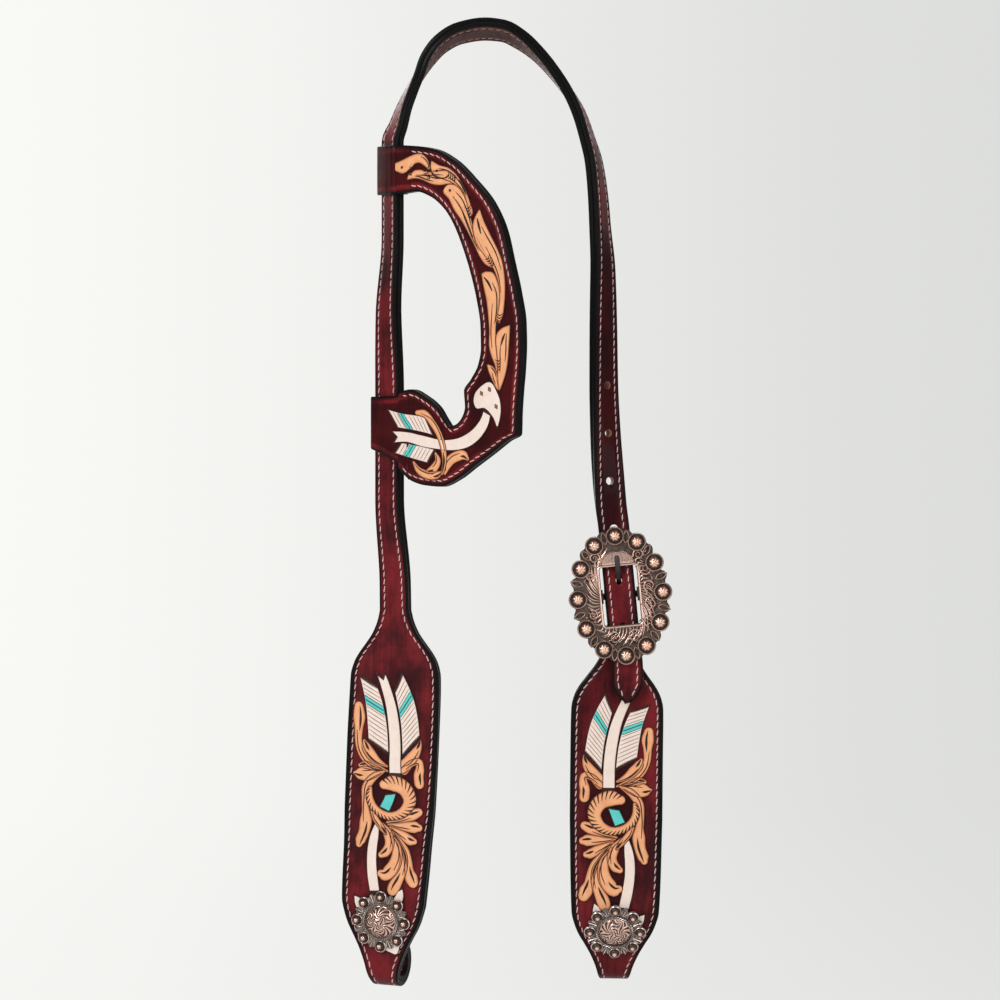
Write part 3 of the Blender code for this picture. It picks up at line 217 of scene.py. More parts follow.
def twisted_way(knots: Array, start: Array, step: float = 0.5 * MM) -> Way:
    """Return a smooth way in the plane of X and Z with a turned strap.

    The outer side is the arch's outside times cos(twist) plus the front times sin(twist).

    Args:
        knots: Rows of place across, height and twist in degrees.
        start: The point that the places are measured from.
        step: Distance between stations.

    Returns:
        The way through the knots.
    """
    stations = chords(knots[:, :2])
    curve = Curve(stations, knots)
    at = np.linspace(0, stations[-1], int(stations[-1] / step) + 1)
    row = curve(at)
    slope = curve(np.minimum(at + 1e-5, stations[-1])) - curve(np.maximum(at - 1e-5, 0))
    along = unit(rows_of(slope[:, 0], 0.0, slope[:, 1]))
    twist = np.radians(row[:, 2])[:, None]
    around = rows_of(-along[:, 2], 0.0, along[:, 0])
    outward = around * np.cos(twist) + np.array([0.0, -1.0, 0.0]) * np.sin(twist)
    return Way(start + rows_of(row[:, 0], 0.0, row[:, 1]), np.cross(along, outward), outward)


class SideView:
    """A strap's side view, bent from straight runs, arcs and smooth steps."""

    STEP = 0.4 * MM

    def __init__(self, down: float = 0.0, forward: float = 0.0, heading: float = 0.0) -> None:
        """Start at a place with a heading in radians from straight down."""
        self.rows = np.array([[down, forward, heading]])

    def _go(self, length: float, turned: float) -> SideView:
        """Add stations a small step apart, whose heading changes evenly."""
        count = max(2, int(length / self.STEP))
        middle = self.rows[-1, 2] + turned * (np.arange(count) + 0.5) / count
        down, forward = np.cumsum(np.cos(middle)), np.cumsum(np.sin(middle))
        return self._add(down * length / count, forward * length / count,
                         turned * np.arange(1, count + 1) / count)

    def _add(self, down: Array, forward: Array, heading: Array) -> SideView:
        """Add stations by how far they lie from the last one and how far the strap has turned there."""
        self.rows = np.concatenate([self.rows, self.rows[-1] + rows_of(down, forward, heading)])
        return self

    def run(self, length: float) -> SideView:
        """Go straight on."""
        return self._go(length, 0.0)

    def turn(self, radius: float, degrees: float) -> SideView:
        """Go round an arc, towards the back for a positive angle."""
        return self._go(radius * abs(math.radians(degrees)), -math.radians(degrees))

    def step_over(self, length: float, shift: float) -> SideView:
        """Go on with a sideways step of shift t t (3 - 2 t), forward for a positive shift."""
        t = np.linspace(0, 1, int(length / self.STEP))[1:]
        side, slope = shift * t * t * (3 - 2 * t), np.arctan(shift * 6 * t * (1 - t) / length)
        sine, cosine = math.sin(self.rows[-1, 2]), math.cos(self.rows[-1, 2])
        return self._add(length * t * cosine - side * sine, length * t * sine + side * cosine, slope)

    def way(self, point: Array, downward: Array, across: Array, outward: Array) -> Way:
        """Hang the side view from a base: down along one direction and forward along another."""
        down, forward, heading = self.rows.T[:, :, None]
        place = point + downward * down + outward * forward
        out = outward * np.cos(heading) - downward * np.sin(heading)
        return Way(place, np.repeat(across[None], len(place), axis=0), out)


# ---- meshes ----


class Draft:
    """Gathers grids of points into one mesh with a map and a paint value at each point."""

    def __init__(self) -> None:
        """Start empty."""
        self.points: list[Array] = []
        self.maps: list[Array] = []
        self.paints: list[Array] = []
        self.faces: list[list[int]] = []
        self.count = 0

    def tube(self, points: Array, u: Values = 0.0, v: Values = 0.0, paint: Values = 1.0,
             closed: bool = False) -> None:
        """Add closed bodies, each a row of rings.

        Ring i, point j joins ring i + 1 and point j + 1, the last point joins the first, and the
        first and last rings are closed by a face, or joined to each other.

        Args:
            points: Places, in the shape (bodies, rings, ring points, 3) or without the first axis.
            u: Map value across, which leather and thread read.
            v: Map value along.
            paint: Value of the paint attribute.
            closed: True where the last ring joins the first.
        """
        points = points if points.ndim == 4 else points[None]
        shape = points.shape[:3]
        index = self.count + np.arange(math.prod(shape)).reshape(shape)
        low, high = index[:, :-1], index[:, 1:]
        if closed:
            low, high = index, np.roll(index, -1, axis=1)
        else:
            self.faces += index[:, 0, ::-1].tolist() + index[:, -1].tolist()
        quads = np.stack([low, np.roll(low, -1, axis=2), np.roll(high, -1, axis=2), high], axis=-1)
        self.faces += quads.reshape(-1, 4).tolist()
        self.points.append(points.reshape(-1, 3))
        spread = [np.broadcast_to(value, shape).reshape(-1) for value in (u, v, paint)]
        self.maps.append(np.stack(spread[:2], axis=1))
        self.paints.append(spread[2])
        self.count += index.size

    def piece(self, name: str, finish: Finish, body: Body, slot: Slot | None = None,
              replaces: Sequence[str] = (), sharp: float = 50.0) -> bpy.types.Object:
        """Make the object, with its faces pointing out, and let it ride on its body.

        Args:
            name: The piece's name.
            finish: Its finish.
            body: The body that it rides on.
            slot: The record's slot for its finish; not used.
            replaces: CAD nodes that it stands for.
            sharp: Angle in degrees past which an edge is drawn sharp.

        Returns:
            The new object.
        """
        data = bpy.data.meshes.new(name)
        data.from_pydata(np.concatenate(self.points).tolist(), [], self.faces)
        corner = np.empty(len(data.loops), np.int32)
        data.loops.foreach_get("vertex_index", corner)
        data.uv_layers.new(name="map").uv.foreach_set("vector", np.concatenate(self.maps)[corner].ravel())
        data.attributes.new("paint", "FLOAT", "POINT").data.foreach_set("value", np.concatenate(self.paints))
        work = bmesh.new()
        work.from_mesh(data)
        bmesh.ops.recalc_face_normals(work, faces=work.faces)
        work.to_mesh(data)
        work.free()
        data.shade_smooth()
        data.set_sharp_from_angle(angle=math.radians(sharp))
        data.materials.append(finish.material())
        made = linked(name, data)
        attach(made, body.value)
        if replaces:
            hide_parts(*replaces)
        LOG.info("%s: %d faces on %s", name, len(data.polygons), body.value)
        return made


def linked(name: str, data: bpy.types.ID) -> bpy.types.Object:
    """Return a new object of this data, linked to the scene."""
    made = bpy.data.objects.new(name, data)
    bpy.context.scene.collection.objects.link(made)
    return made


def cut_holes(piece: bpy.types.Object, guide: Draft, body: Body) -> None:
    """Cut a guide out of a piece, keep the result in its mesh and remove the guide.

    Args:
        piece: The piece to cut.
        guide: The shapes to take out of it.
        body: The body that the piece rides on.
    """
    cutter = guide.piece("holes", Finish.RAW, body)
    cutter.parent = None
    modifier = piece.modifiers.new("holes", "BOOLEAN")
    modifier.operation, modifier.solver, modifier.object = "DIFFERENCE", "EXACT", cutter
    modifier.material_mode = "TRANSFER"
    evaluated = piece.evaluated_get(bpy.context.evaluated_depsgraph_get())
    cut = bpy.data.meshes.new_from_object(evaluated)
    piece.modifiers.clear()
    old, name = piece.data, piece.data.name
    piece.data = cut
    bpy.data.meshes.remove(old)
    cut.name = name
    bpy.data.objects.remove(cutter)


# ---- materials ----


class Graph:
    """A material's nodes, written as calls that return sockets."""

    def __init__(self, name: str) -> None:
        """Start with a Principled shader."""
        self.material = bpy.data.materials.new(name)
        self.material.use_nodes = True
        self.tree = self.material.node_tree
        self.shader = self.tree.nodes["Principled BSDF"]

    def add(self, kind: str, inputs: dict, **settings: object) -> bpy.types.Node:
        """Add a node with its settings and its inputs, which are values or sockets."""
        node = self.tree.nodes.new(kind)
        for key, value in settings.items():
            setattr(node, key, value)
        self.feed(node, inputs)
        return node

    def feed(self, node: bpy.types.Node, inputs: dict) -> None:
        """Link sockets to a node's inputs and write values into them."""
        for key, value in inputs.items():
            if isinstance(value, Socket):
                self.tree.links.new(value, node.inputs[key])
            else:
                node.inputs[key].default_value = value

    def place(self, kind: str = "Object", stretch: tuple = (1.0, 1.0, 1.0)) -> Socket:
        """Return Object or UV coordinates, scaled along each axis."""
        source = self.add("ShaderNodeTexCoord", {}).outputs[kind]
        return self.add("ShaderNodeMapping", {"Vector": source, "Scale": stretch}).outputs[0]

    def noise(self, where: Socket, scale: float, detail: float = 3.0,
              rough: float = 0.55) -> Socket:
        """Return a noise between 0 and 1."""
        inputs = {"Vector": where, "Scale": scale, "Detail": detail, "Roughness": rough}
        return self.add("ShaderNodeTexNoise", inputs).outputs["Fac"]

    def zone(self, x: float, z: float, wide: float, high: float) -> Socket:
        """Return the distance from a place seen from the front, 1 on the oval with these half sizes."""
        source = self.add("ShaderNodeTexCoord", {}).outputs["Object"]
        moved = self.add("ShaderNodeMapping", {"Vector": source, "Scale": (1 / wide, 0.0, 1 / high),
                                               "Location": (-x / wide, 0.0, -z / high)}).outputs[0]
        return self.add("ShaderNodeVectorMath", {0: moved}, operation="LENGTH").outputs["Value"]

    def cells(self, where: Socket, scale: float) -> Socket:
        """Return the distance from the edges of small cells, as in leather grain."""
        node = self.add("ShaderNodeTexVoronoi", {"Vector": where, "Scale": scale}, feature="DISTANCE_TO_EDGE")
        return node.outputs["Distance"]

    def attribute(self, name: str) -> Socket:
        """Return a value that is stored on the mesh."""
        return self.add("ShaderNodeAttribute", {}, attribute_name=name).outputs["Fac"]

    def span(self, value: Socket, low: float, high: float, to_low: float = 0.0,
             to_high: float = 1.0) -> Socket:
        """Return a value mapped smoothly from one span to another and held beyond it."""
        inputs = {"Value": value, "From Min": low, "From Max": high, "To Min": to_low, "To Max": to_high}
        return self.add("ShaderNodeMapRange", inputs, interpolation_type="SMOOTHSTEP").outputs[0]

    def math(self, operation: str, first: object, second: object) -> Socket:
        """Return the result of one sum, product or comparison."""
        return self.add("ShaderNodeMath", {0: first, 1: second}, operation=operation).outputs[0]

    def plus(self, first: object, second: object, share: float) -> Socket:
        """Return the first value plus a share of the second."""
        return self.math("ADD", first, self.math("MULTIPLY", second, share))

    def mix(self, share: object, first: object, second: object) -> Socket:
        """Return two colours mixed."""
        colours = [(*c, 1.0) if isinstance(c, tuple) else c for c in (first, second)]
        inputs = {0: share, 6: colours[0], 7: colours[1]}
        return self.add("ShaderNodeMix", inputs, data_type="RGBA").outputs[2]

    def bump(self, heights: Sequence[tuple], strength: float = 1.0) -> None:
        """Give the shader a surface whose height is a sum of sockets, each times its depth in metres."""
        total = 0.0
        for socket, depth in heights:
            total = self.plus(total, socket, depth)
        inputs = {"Height": total, "Distance": 1.0, "Strength": strength}
        self.set(Normal=self.add("ShaderNodeBump", inputs).outputs[0])

    def set(self, **inputs: object) -> None:
        """Set the shader's inputs by name, with spaces written as underscores."""
        self.feed(self.shader, {key.replace("_", " "): value for key, value in inputs.items()})


@dataclass(frozen=True)
class Leather:
    """Dyed leather with painted edges: the paint value is the distance from the edge in rims."""

    name: str
    deep: Colour
    bright: Colour
    edge: Colour = (0.0030, 0.0026, 0.0026)
    gloss: float = 0.33
    grain: float = 0.03
    inner: tuple[float, float] = (90.0, 99.0)
    stains: tuple[tuple[float, float, float, float], ...] = ()

    def make(self) -> bpy.types.Material:
        """Return the material: blotches of two dyes, rubbed darker towards a black edge, and grain."""
        g = Graph(self.name)
        where = g.place()
        mapped = g.place("UV", (420.0, 46.0, 1.0))
        blotch = g.noise(where, 38.0, 4.0, 0.6)
        streak = g.noise(mapped, 1.0, 3.0, 0.6)
        fine = g.noise(where, 950.0, 3.0, 0.65)
        tone = g.plus(g.math("MULTIPLY", blotch, 0.75), streak, 0.25)
        dye = g.mix(g.span(tone, 0.37, 0.62), self.deep, self.bright)
        dye = g.mix(g.span(fine, 0.35, 0.8, 0.0, 0.3), dye, self.deep)
        darkest = tuple(0.42 * c for c in self.deep)
        dye = g.mix(g.span(g.noise(where, 14.0, 2.0), 0.52, 0.7, 0.0, 0.5), dye, darkest)
        cloud = g.math("MULTIPLY", g.noise(where, 60.0, 4.0, 0.6), 0.8)
        for x, z, wide, high in self.stains:
            near = g.math("ADD", g.zone(x, z, wide, high), cloud)
            dye = g.mix(g.span(near, 1.05, 1.6, 0.78, 0.0), dye, darkest)
        rim = g.plus(g.attribute("paint"), g.noise(where, 420.0, 2.0), 0.24)
        dye = g.mix(g.span(g.math("ADD", rim, cloud), *self.inner, 0.0, 0.75), dye, darkest)
        dye = g.mix(g.span(rim, 1.05, 2.6, 0.7, 0.0), dye, tuple(0.35 * c for c in self.deep))
        black = g.span(rim, 0.98, 1.24, 1.0, 0.0)
        worn = g.mix(g.noise(where, 160.0, 4.0, 0.7), self.edge, tuple(2.2 * c for c in self.edge))
        g.set(Base_Color=g.mix(black, dye, worn), IOR=1.47)
        uneven = g.noise(where, 120.0, 4.0, 0.6)
        g.set(Roughness=g.span(uneven, 0.25, 0.75, self.gloss - 0.06, self.gloss + 0.12))
        g.set(Coat_Weight=0.04, Coat_Roughness=0.12, Specular_IOR_Level=0.06)
        pores = g.span(g.cells(where, 820.0), 0.0, 0.22)
        g.bump([(pores, self.grain * MM), (fine, 0.05 * MM), (blotch, 0.45 * MM), (streak, 0.06 * MM)], 0.8)
        return g.material


@dataclass(frozen=True)
class Tooled:
    """Dyed tooling on the leather: the paint value is the distance from its cut edge in millimetres."""

    name: str
    colour: Colour
    shade: Colour
    depth: float = 1.0

    def make(self) -> bpy.types.Material:
        """Return the material: the dye, darker at the cut edges in antique dye and painted shade, and fine
        grain.
        """
        g = Graph(self.name)
        where = g.place()
        soft = g.noise(where, 240.0, 4.0, 0.6)
        fine = g.noise(where, 1300.0, 3.0, 0.6)
        edge_shade_and_stain = g.plus(g.attribute("paint"), soft, 0.5)
        dye = g.mix(g.span(soft, 0.25, 0.8, 0.0, 0.28), self.colour, self.shade)
        # darker towards the cut edges: antique dye held there and a painted shade of the bevelled edge
        dye = g.mix(g.span(edge_shade_and_stain, 0.2, 0.2 + self.depth, 0.8, 0.0), dye, self.shade)
        g.set(Base_Color=dye, Roughness=g.span(soft, 0.2, 0.8, 0.42, 0.58), Specular_IOR_Level=0.25)
        g.bump([(fine, 0.04 * MM), (soft, 0.12 * MM)], 0.6)
        return g.material


@dataclass(frozen=True)
class Thread:
    """Waxed linen thread with its twist."""

    name: str
    colour: Colour
    shade: Colour

    def make(self) -> bpy.types.Material:
        """Return the material: the map's v runs along the stitch, and the twist crosses it."""
        g = Graph(self.name)
        mapped = g.place("UV", (6.0, 9.0, 1.0))
        twist = g.add("ShaderNodeTexWave", {"Vector": mapped, "Scale": 1.0, "Distortion": 0.6},
                      bands_direction="DIAGONAL").outputs["Fac"]
        worn = g.noise(g.place(), 130.0, 4.0, 0.7)
        colour = g.mix(g.span(twist, 0.2, 0.8, 0.45, 0.0), self.colour, self.shade)
        g.set(Base_Color=g.mix(g.span(worn, 0.42, 0.7, 0.0, 0.5), colour, self.shade), Roughness=0.62)
        g.bump([(twist, 0.06 * MM)], 0.8)
        return g.material


@dataclass(frozen=True)
class AntiqueMetal:
    """Cast metal, dark in its hollows: the paint value is 0 in a hollow and 1 on a rubbed crest, which on a
    berry's top is also a painted highlight.

    A plain value stands for the paint on nodes that carry none.
    """

    name: str
    hollow: Colour
    crest: Colour
    rough: float = 0.3
    plain: float | None = None

    def make(self) -> bpy.types.Material:
        """Return the material: patina mixed to bright metal by the paint value and broken by noise."""
        g = Graph(self.name)
        where = g.place()
        broken = g.noise(where, 520.0, 4.0, 0.65)
        cloud = g.noise(where, 90.0, 3.0, 0.6)
        paint = g.attribute("paint") if self.plain is None else self.plain
        share = g.span(g.plus(g.plus(paint, broken, 0.5), cloud, 0.25), 0.5, 1.25)
        g.set(Base_Color=g.mix(share, self.hollow, self.crest), Metallic=g.span(share, 0.0, 1.0, 0.75, 1.0))
        g.set(Roughness=g.span(share, 0.0, 1.0, self.rough + 0.24, self.rough))
        g.bump([(broken, 0.05 * MM), (g.noise(where, 1900.0, 2.0), 0.02 * MM)], 0.7)
        return g.material


class Finish(Enum):
    """Every finish of the headstall. Stains are given by place across, place up and half sizes."""

    LEATHER = Leather("oxblood_leather", (0.037, 0.0060, 0.008), (0.168, 0.0140, 0.0180), stains=(
        (-0.0474, -0.3867, 0.017, 0.060), (0.0654, -0.3995, 0.017, 0.058), (0.062, -0.185, 0.014, 0.095)))
    EAR = Leather("oxblood_ear_leather", (0.042, 0.0055, 0.007), (0.185, 0.0135, 0.0165), inner=(3.2, 4.6))
    LINING = Leather("dark_lining", (0.028, 0.012, 0.011), (0.095, 0.046, 0.042), gloss=0.42, grain=0.05)
    THREAD = Thread("cream_thread", (0.82, 0.62, 0.58), (0.45, 0.24, 0.22))
    # the inner side's stitches get the same thread in a darker colour
    DARK_THREAD = Thread("darker_inner_thread", (0.50, 0.25, 0.22), (0.20, 0.08, 0.07))
    TAN = Tooled("tan_tooling", (0.80, 0.39, 0.195), (0.42, 0.108, 0.030), 1.2)
    WHITE = Tooled("white_tooling", (0.79, 0.665, 0.595), (0.62, 0.44, 0.35), 0.4)
    TURQUOISE = Tooled("turquoise_tooling", (0.10, 0.56, 0.52), (0.035, 0.34, 0.32), 0.4)
    # dark strokes laid where the leather is cut: the antique dye held in the cuts and a painted shade of the
    # grooves
    CUT = Tooled("cut_dye_and_shade", (0.044, 0.012, 0.007), (0.018, 0.005, 0.003))
    BARB = Tooled("brown_barbs", (0.24, 0.10, 0.065), (0.14, 0.05, 0.035))
    RAW = Tooled("raw_leather", (0.42, 0.18, 0.11), (0.20, 0.07, 0.045), 0.2)
    GUNMETAL = AntiqueMetal("antique_gunmetal", (0.055, 0.045, 0.042), (0.72, 0.60, 0.55), 0.26)
    RELIEF = AntiqueMetal("coppered_relief", (0.04, 0.024, 0.02), (0.86, 0.60, 0.505), 0.25)
    COPPER = AntiqueMetal("antique_copper", (0.055, 0.032, 0.027), (0.95, 0.57, 0.44), 0.2)
    DOME = AntiqueMetal("copper_dome", (0.06, 0.035, 0.03), (0.78, 0.52, 0.43), 0.24)
    STEEL = AntiqueMetal("worn_steel", (0.05, 0.045, 0.042), (0.20, 0.18, 0.165), 0.3, 0.3)
    FRAME = AntiqueMetal("coppered_frame", (0.045, 0.028, 0.023), (0.40, 0.29, 0.25), 0.32, 0.30)
    PEWTER = AntiqueMetal("pewter_plate", (0.05, 0.042, 0.04), (0.52, 0.43, 0.39), 0.32, 0.42)

    @cache
    def material(self) -> bpy.types.Material:
        """Return the finish's material, which is made once."""
        return self.value.make()


# ---- straps ----

STRAP_WIDTH = 15.9 * MM
PLY = 2.6 * MM
SEAM = 0.3 * MM
STRAP_THICKNESS = 2 * PLY + SEAM
BIT_LOOP_RADIUS = 9.25 * MM
BIT_LOOP_DROP = 23.8 * MM
CLAMP_HALF = 4 * MM
BAR_RADIUS = 1.75 * MM
BAR_PLAY = 0.4 * MM
BAR_DEPTH = STRAP_THICKNESS / 2 + SEAM + PLY + BAR_PLAY + BAR_RADIUS
STITCH_INSET = 3.0 * MM
STITCH_DEPTH = 0.2 * MM
LINER_RIM = 0.6 * MM
CLOSED_SEAM = 0.03 * MM


@dataclass(frozen=True)
class Ply:
    """The section of one leather ply: rounded painted edges, an edge crease and a stitch groove."""

    low: float
    high: float
    round_edge: float = 0.85 * MM
    round_seam: float = 0.4 * MM
    rim: float = 0.9 * MM
    groove: float = 0.26 * MM
    crease: float = 0.10 * MM
    full_half: float = 6.2 * MM

    def section(self, half: Array, rim: Array | float) -> tuple[Array, ...]:
        """Return the closed section at each station.

        From the seam side the profile rounds the edge by quarter circles, runs over the crease and the
        stitch groove to the middle, and goes on mirrored.

        Args:
            half: Half the strap's width at each station.
            rim: Width of the black painted rim at each station.

        Returns:
            Across, height and paint arrays that spread to the shape (stations, section points).
        """
        seam, tall = self.round_seam, self.high - self.low
        quarter = np.radians([0, 22.5, 45, 67.5, 90])
        top = np.array([
            (1.5, 0), (1.75, 1), (2.0, 0), (2.45, 0), (2.7, 2), (3.0, 3), (3.3, 2), (3.55, 0), (5.0, 0)])
        drop = np.choose(top[:, 1].astype(int), [0.0, self.crease, 0.7 * self.groove, self.groove])
        inset = [[seam, 0.3 * seam, 0.0], self.round_edge * (1 - np.cos(quarter)), top[:, 0] * MM]
        height = [[0.0, 0.3 * seam, seam], tall - self.round_edge * (1 - np.sin(quarter)), tall - drop]
        inset, height, half = np.concatenate(inset), np.concatenate(height), half[:, None]
        scale = np.minimum(1.0, half / self.full_half)
        edge = inset * scale
        middle = np.linspace(-1, 1, 9)[1:-1] * (half - inset[-1] * scale)
        x = np.concatenate([edge - half, middle, (half - edge)[:, ::-1]], axis=1)
        lift = np.concatenate([height, np.full(middle.shape[1], tall), height[::-1]])
        walked = np.concatenate([edge, half - np.abs(middle), edge[:, ::-1]], axis=1)
        walked[:, [0, 1, 2, -3, -2, -1]] = 0.0
        return x, self.low + lift, walked / np.broadcast_to(rim, len(half))[:, None]

    def fill(self, draft: Draft, ground: Ground, y: Array, half: Array,
             rim: Array | float, flip: bool = False) -> None:
        """Carry the section along a ground.

        Args:
            draft: The mesh to add to.
            ground: What the ply lies on.
            y: Stations along.
            half: Half widths there.
            rim: Width of the painted rim there.
            flip: True for the ply on the inner side.
        """
        x, h, paint = self.section(half, rim)
        across, along = x + np.sign(x) * np.maximum(0.0, self.high - h), y[:, None]
        wave = 0.05 * MM * np.sin(along / (7.3 * MM)) * np.sin(x / (3.1 * MM) + along / (19 * MM))
        h = h + np.where(h > self.high - 0.01 * MM, wave, 0.0)
        draft.tube(ground.place(x, along, -h if flip else h), across, along, paint)


def blunt(y: Array, half: Array, amount: float = 0.8 * MM) -> Array:
    """Return half widths that round off over the last stretch at both ends of a strap."""
    near = np.minimum(y - y[0], y[-1] - y) / amount
    return half - amount * (1 - np.sqrt(1 - (1 - np.clip(near, 0, 1)) ** 2))


def stations(low: float, high: float, coarse: float, fine_spans: Sequence[tuple[float, float]] = (),
             fine: float = 0.7 * MM) -> Array:
    """Return stations between two lengths, closer together within given spans and at the ends."""
    spans = [(low, high, coarse), *((start, end, fine) for start, end in fine_spans)]
    at = [np.linspace(start, end, int((end - start) / step) + 1) for start, end, step in spans]
    ends = np.array([0.06, 0.2, 0.45, 0.8]) * MM
    merged = np.unique(np.concatenate([*at, low + ends, high - ends]))
    return merged[np.concatenate([[True], np.diff(merged) > 0.03 * MM])]


def stitch_row(draft: Draft, ground: Ground, x: Array, y: Array, h: float, flip: bool = False,
               pitch: float = 3.9 * MM) -> None:
    """Sew a row of stitches along a line.

    A stitch is a round section carried over t from -1 to 1. It dips into the leather by t to the
    fourth, slants across the line and thins towards its ends.

    Args:
        draft: The mesh to add to.
        ground: What the row lies on.
        x: Places across of points on the line.
        y: Places along of the same points.
        h: Height of the leather's surface there.
        flip: True on the inner side.
        pitch: Length of one stitch with its gap.
    """
    line = rows_of(x, y)
    length = chords(line)
    count = int(length[-1] / pitch)
    middle = (np.arange(count) + 0.5) * length[-1] / count
    centre, ahead, behind = (read_rows(middle + move * MM, length, line) for move in (0.0, 0.4, -0.4))
    along = unit(ahead - behind)[:, None, None]
    side = rows_of(along[..., 1], -along[..., 0])
    t = np.array([-1.0, -0.85, -0.45, 0.0, 0.45, 0.85, 1.0])[:, None]
    radius = 0.32 * MM * np.array([0.45, 0.85, 1.0, 1.05, 1.0, 0.85, 0.45])[:, None]
    angle = np.arange(6) * math.tau / 6
    forward, sideways = 0.455 * pitch * t, 0.32 * MM * t + radius * np.cos(angle)
    high = h + 0.02 * MM - 0.34 * MM * t ** 4 + radius * np.sin(angle)
    plan = centre[:, None, None] + along * forward[..., None] + side * sideways[..., None]
    draft.tube(ground.place(plan[..., 0], plan[..., 1], -high if flip else high), angle / math.tau, t)


def sew(name: str, ground: Ground, lines: Sequence[tuple[Array, Array]], surface: float,
        body: Body) -> None:
    """Stitch lines on the outer side with light thread and on the inner side with darker thread.

    Args:
        name: First part of the two pieces' names.
        ground: What the lines lie on.
        lines: Places across and along of each line.
        surface: Height of the leather's surface on either side.
        body: The body that the pieces ride on.
    """
    for label, finish, flip in (("stitching", Finish.THREAD, False),
                                ("back_stitching", Finish.DARK_THREAD, True)):
        draft = Draft()
        for x, y in lines:
            stitch_row(draft, ground, x, y, surface - STITCH_DEPTH, flip)
        draft.piece(f"{name}_{label}", finish, body)


@dataclass(frozen=True)
class Paddle:
    """The widened end of a cheek piece, measured upwards from its concho's screw."""

    length: float
    width: float = 47.5 * MM
    shoulder: float = 41 * MM
    shoulder_mark: float = 0.56
    strap_end: float = 15.0 * MM
    taper_start: float = 10 * MM
    taper: float = 42 * MM
    shoulder_curve: Curve = Curve((0.0, 0.125, 0.29, 0.4, 0.56, 0.66, 0.81, 1.0),
                                  (0.0, 0.08, 0.27, 0.47, 0.77, 0.9, 0.99, 1.0))
    taper_curve: Curve = Curve((-1.1, 0.0, 0.17, 0.3, 0.45, 0.62, 0.83, 1.0),
                               (1.0, 0.92, 0.82, 0.7, 0.5, 0.29, 0.1, 0.0))

    def half_width(self, above: Array) -> Array:
        """Return half the width: the shoulder's curve above, the bit end's taper below."""
        strap, paddle, tip = STRAP_WIDTH / 2, self.width / 2, self.strap_end / 2
        shoulder = self.shoulder_curve(self.shoulder_mark + (self.length - above) / self.shoulder)
        taper = self.taper_curve((self.taper_start - above) / self.taper)
        top, bottom = strap + (paddle - strap) * shoulder, tip + (paddle - tip) * taper
        return np.where(above > self.taper_start, np.minimum(top, bottom), bottom)

    def rim(self, above: Array) -> Array:
        """Return the painted rim's width, broader round the paddle than on the strap."""
        half = self.half_width(above)
        share = np.clip((half - STRAP_WIDTH / 2) / (self.width / 2 - STRAP_WIDTH / 2), 0, 1)
        return (1.0 + 1.1 * share) * MM


def bit_end(radius: float, angle: float) -> SideView:
    """Return the side view of a bit end: the bend, the clamp, the loop and the folded tail.

    Args:
        radius: Radius of the bend below the paddle.
        angle: Its angle in degrees.

    Returns:
        The side view, from the flat paddle on.
    """
    spacing = STRAP_THICKNESS + SEAM
    back = math.radians(45.0)
    return_radius = 8 * MM
    radii = BIT_LOOP_RADIUS + return_radius
    slant = (2 * BIT_LOOP_RADIUS - spacing - radii * (1 - math.cos(back))) / math.sin(back)
    rise = radii * math.sin(back) + slant * math.cos(back)
    view = SideView().turn(radius, angle).run(CLAMP_HALF + BIT_LOOP_DROP).turn(BIT_LOOP_RADIUS, 225.0)
    view.run(slant).turn(return_radius, -45.0).run(BIT_LOOP_DROP - rise + CLAMP_HALF)
    return view.turn(radius - spacing, -math.degrees(9 * MM / radius))


SPAN = 111 * MM
EAR_HEIGHT = 174.5 * MM
UPPER_LOOP_HEIGHT = 25 * MM
LOWER_LOOP_HEIGHT = 30 * MM
LOOP_MARGIN = 2 * MM
UPPER_LOOP_DROP = 72.5 * MM
LOWER_LOOP_DROP = UPPER_LOOP_DROP - UPPER_LOOP_HEIGHT / 2 + 0.82 * EAR_HEIGHT
LEFT_CHEEK_DROP = 442 * MM
BUCKLE_DROP = 290 * MM
BUCKLE_PLACE = 0.624 * SPAN
BUCKLE_LEAN = math.tan(math.radians(5.5))
BILLET_PLACE = 38.75 * MM
BILLET_END = 55 * MM
EAR_SLIDE = 20 * MM
POLL_TWIST, UPPER_TWIST, MIDDLE_TWIST, LOWER_TWIST, BUCKLE_TWIST = -26.0, 27.0, 38.0, 49.0, 90.0
LEFT_CHEEK_SHARES = (
    (-0.463, 1.00, 70), (-0.450, 0.90, 70), (-0.437, 0.78, 75), (-0.424, 0.62, 78), (-0.411, 0.42, 72),
    (-0.414, 0.22, 64))
LEFT_CROWN_SHARES = (
    (-0.400, 0.853, 20), (-0.374, 0.701, 13), (-0.339, 0.548, 7), (-0.304, 0.413, 0), (-0.263, 0.265, -12),
    (-0.203, 0.130, -19), (-0.115, 0.036, -24))
RIGHT_CROWN_SHARES = (
    (0.081, 0.003, -24), (0.160, 0.018, -19), (0.243, 0.044, -10), (0.321, 0.078, -4), (0.387, 0.114, 2),
    (0.433, 0.148, 8), (0.475, 0.197, 12), (0.502, 0.235, 17), (0.523, 0.302, 23), (0.531, 0.349, 26),
    (0.544, 0.427, 36), (0.546, 0.522, 44), (0.548, 0.626, 49), (0.555, 0.707, 57), (0.569, 0.792, 73),
    (0.582, 0.845, 87), (0.592, 0.873, 90))


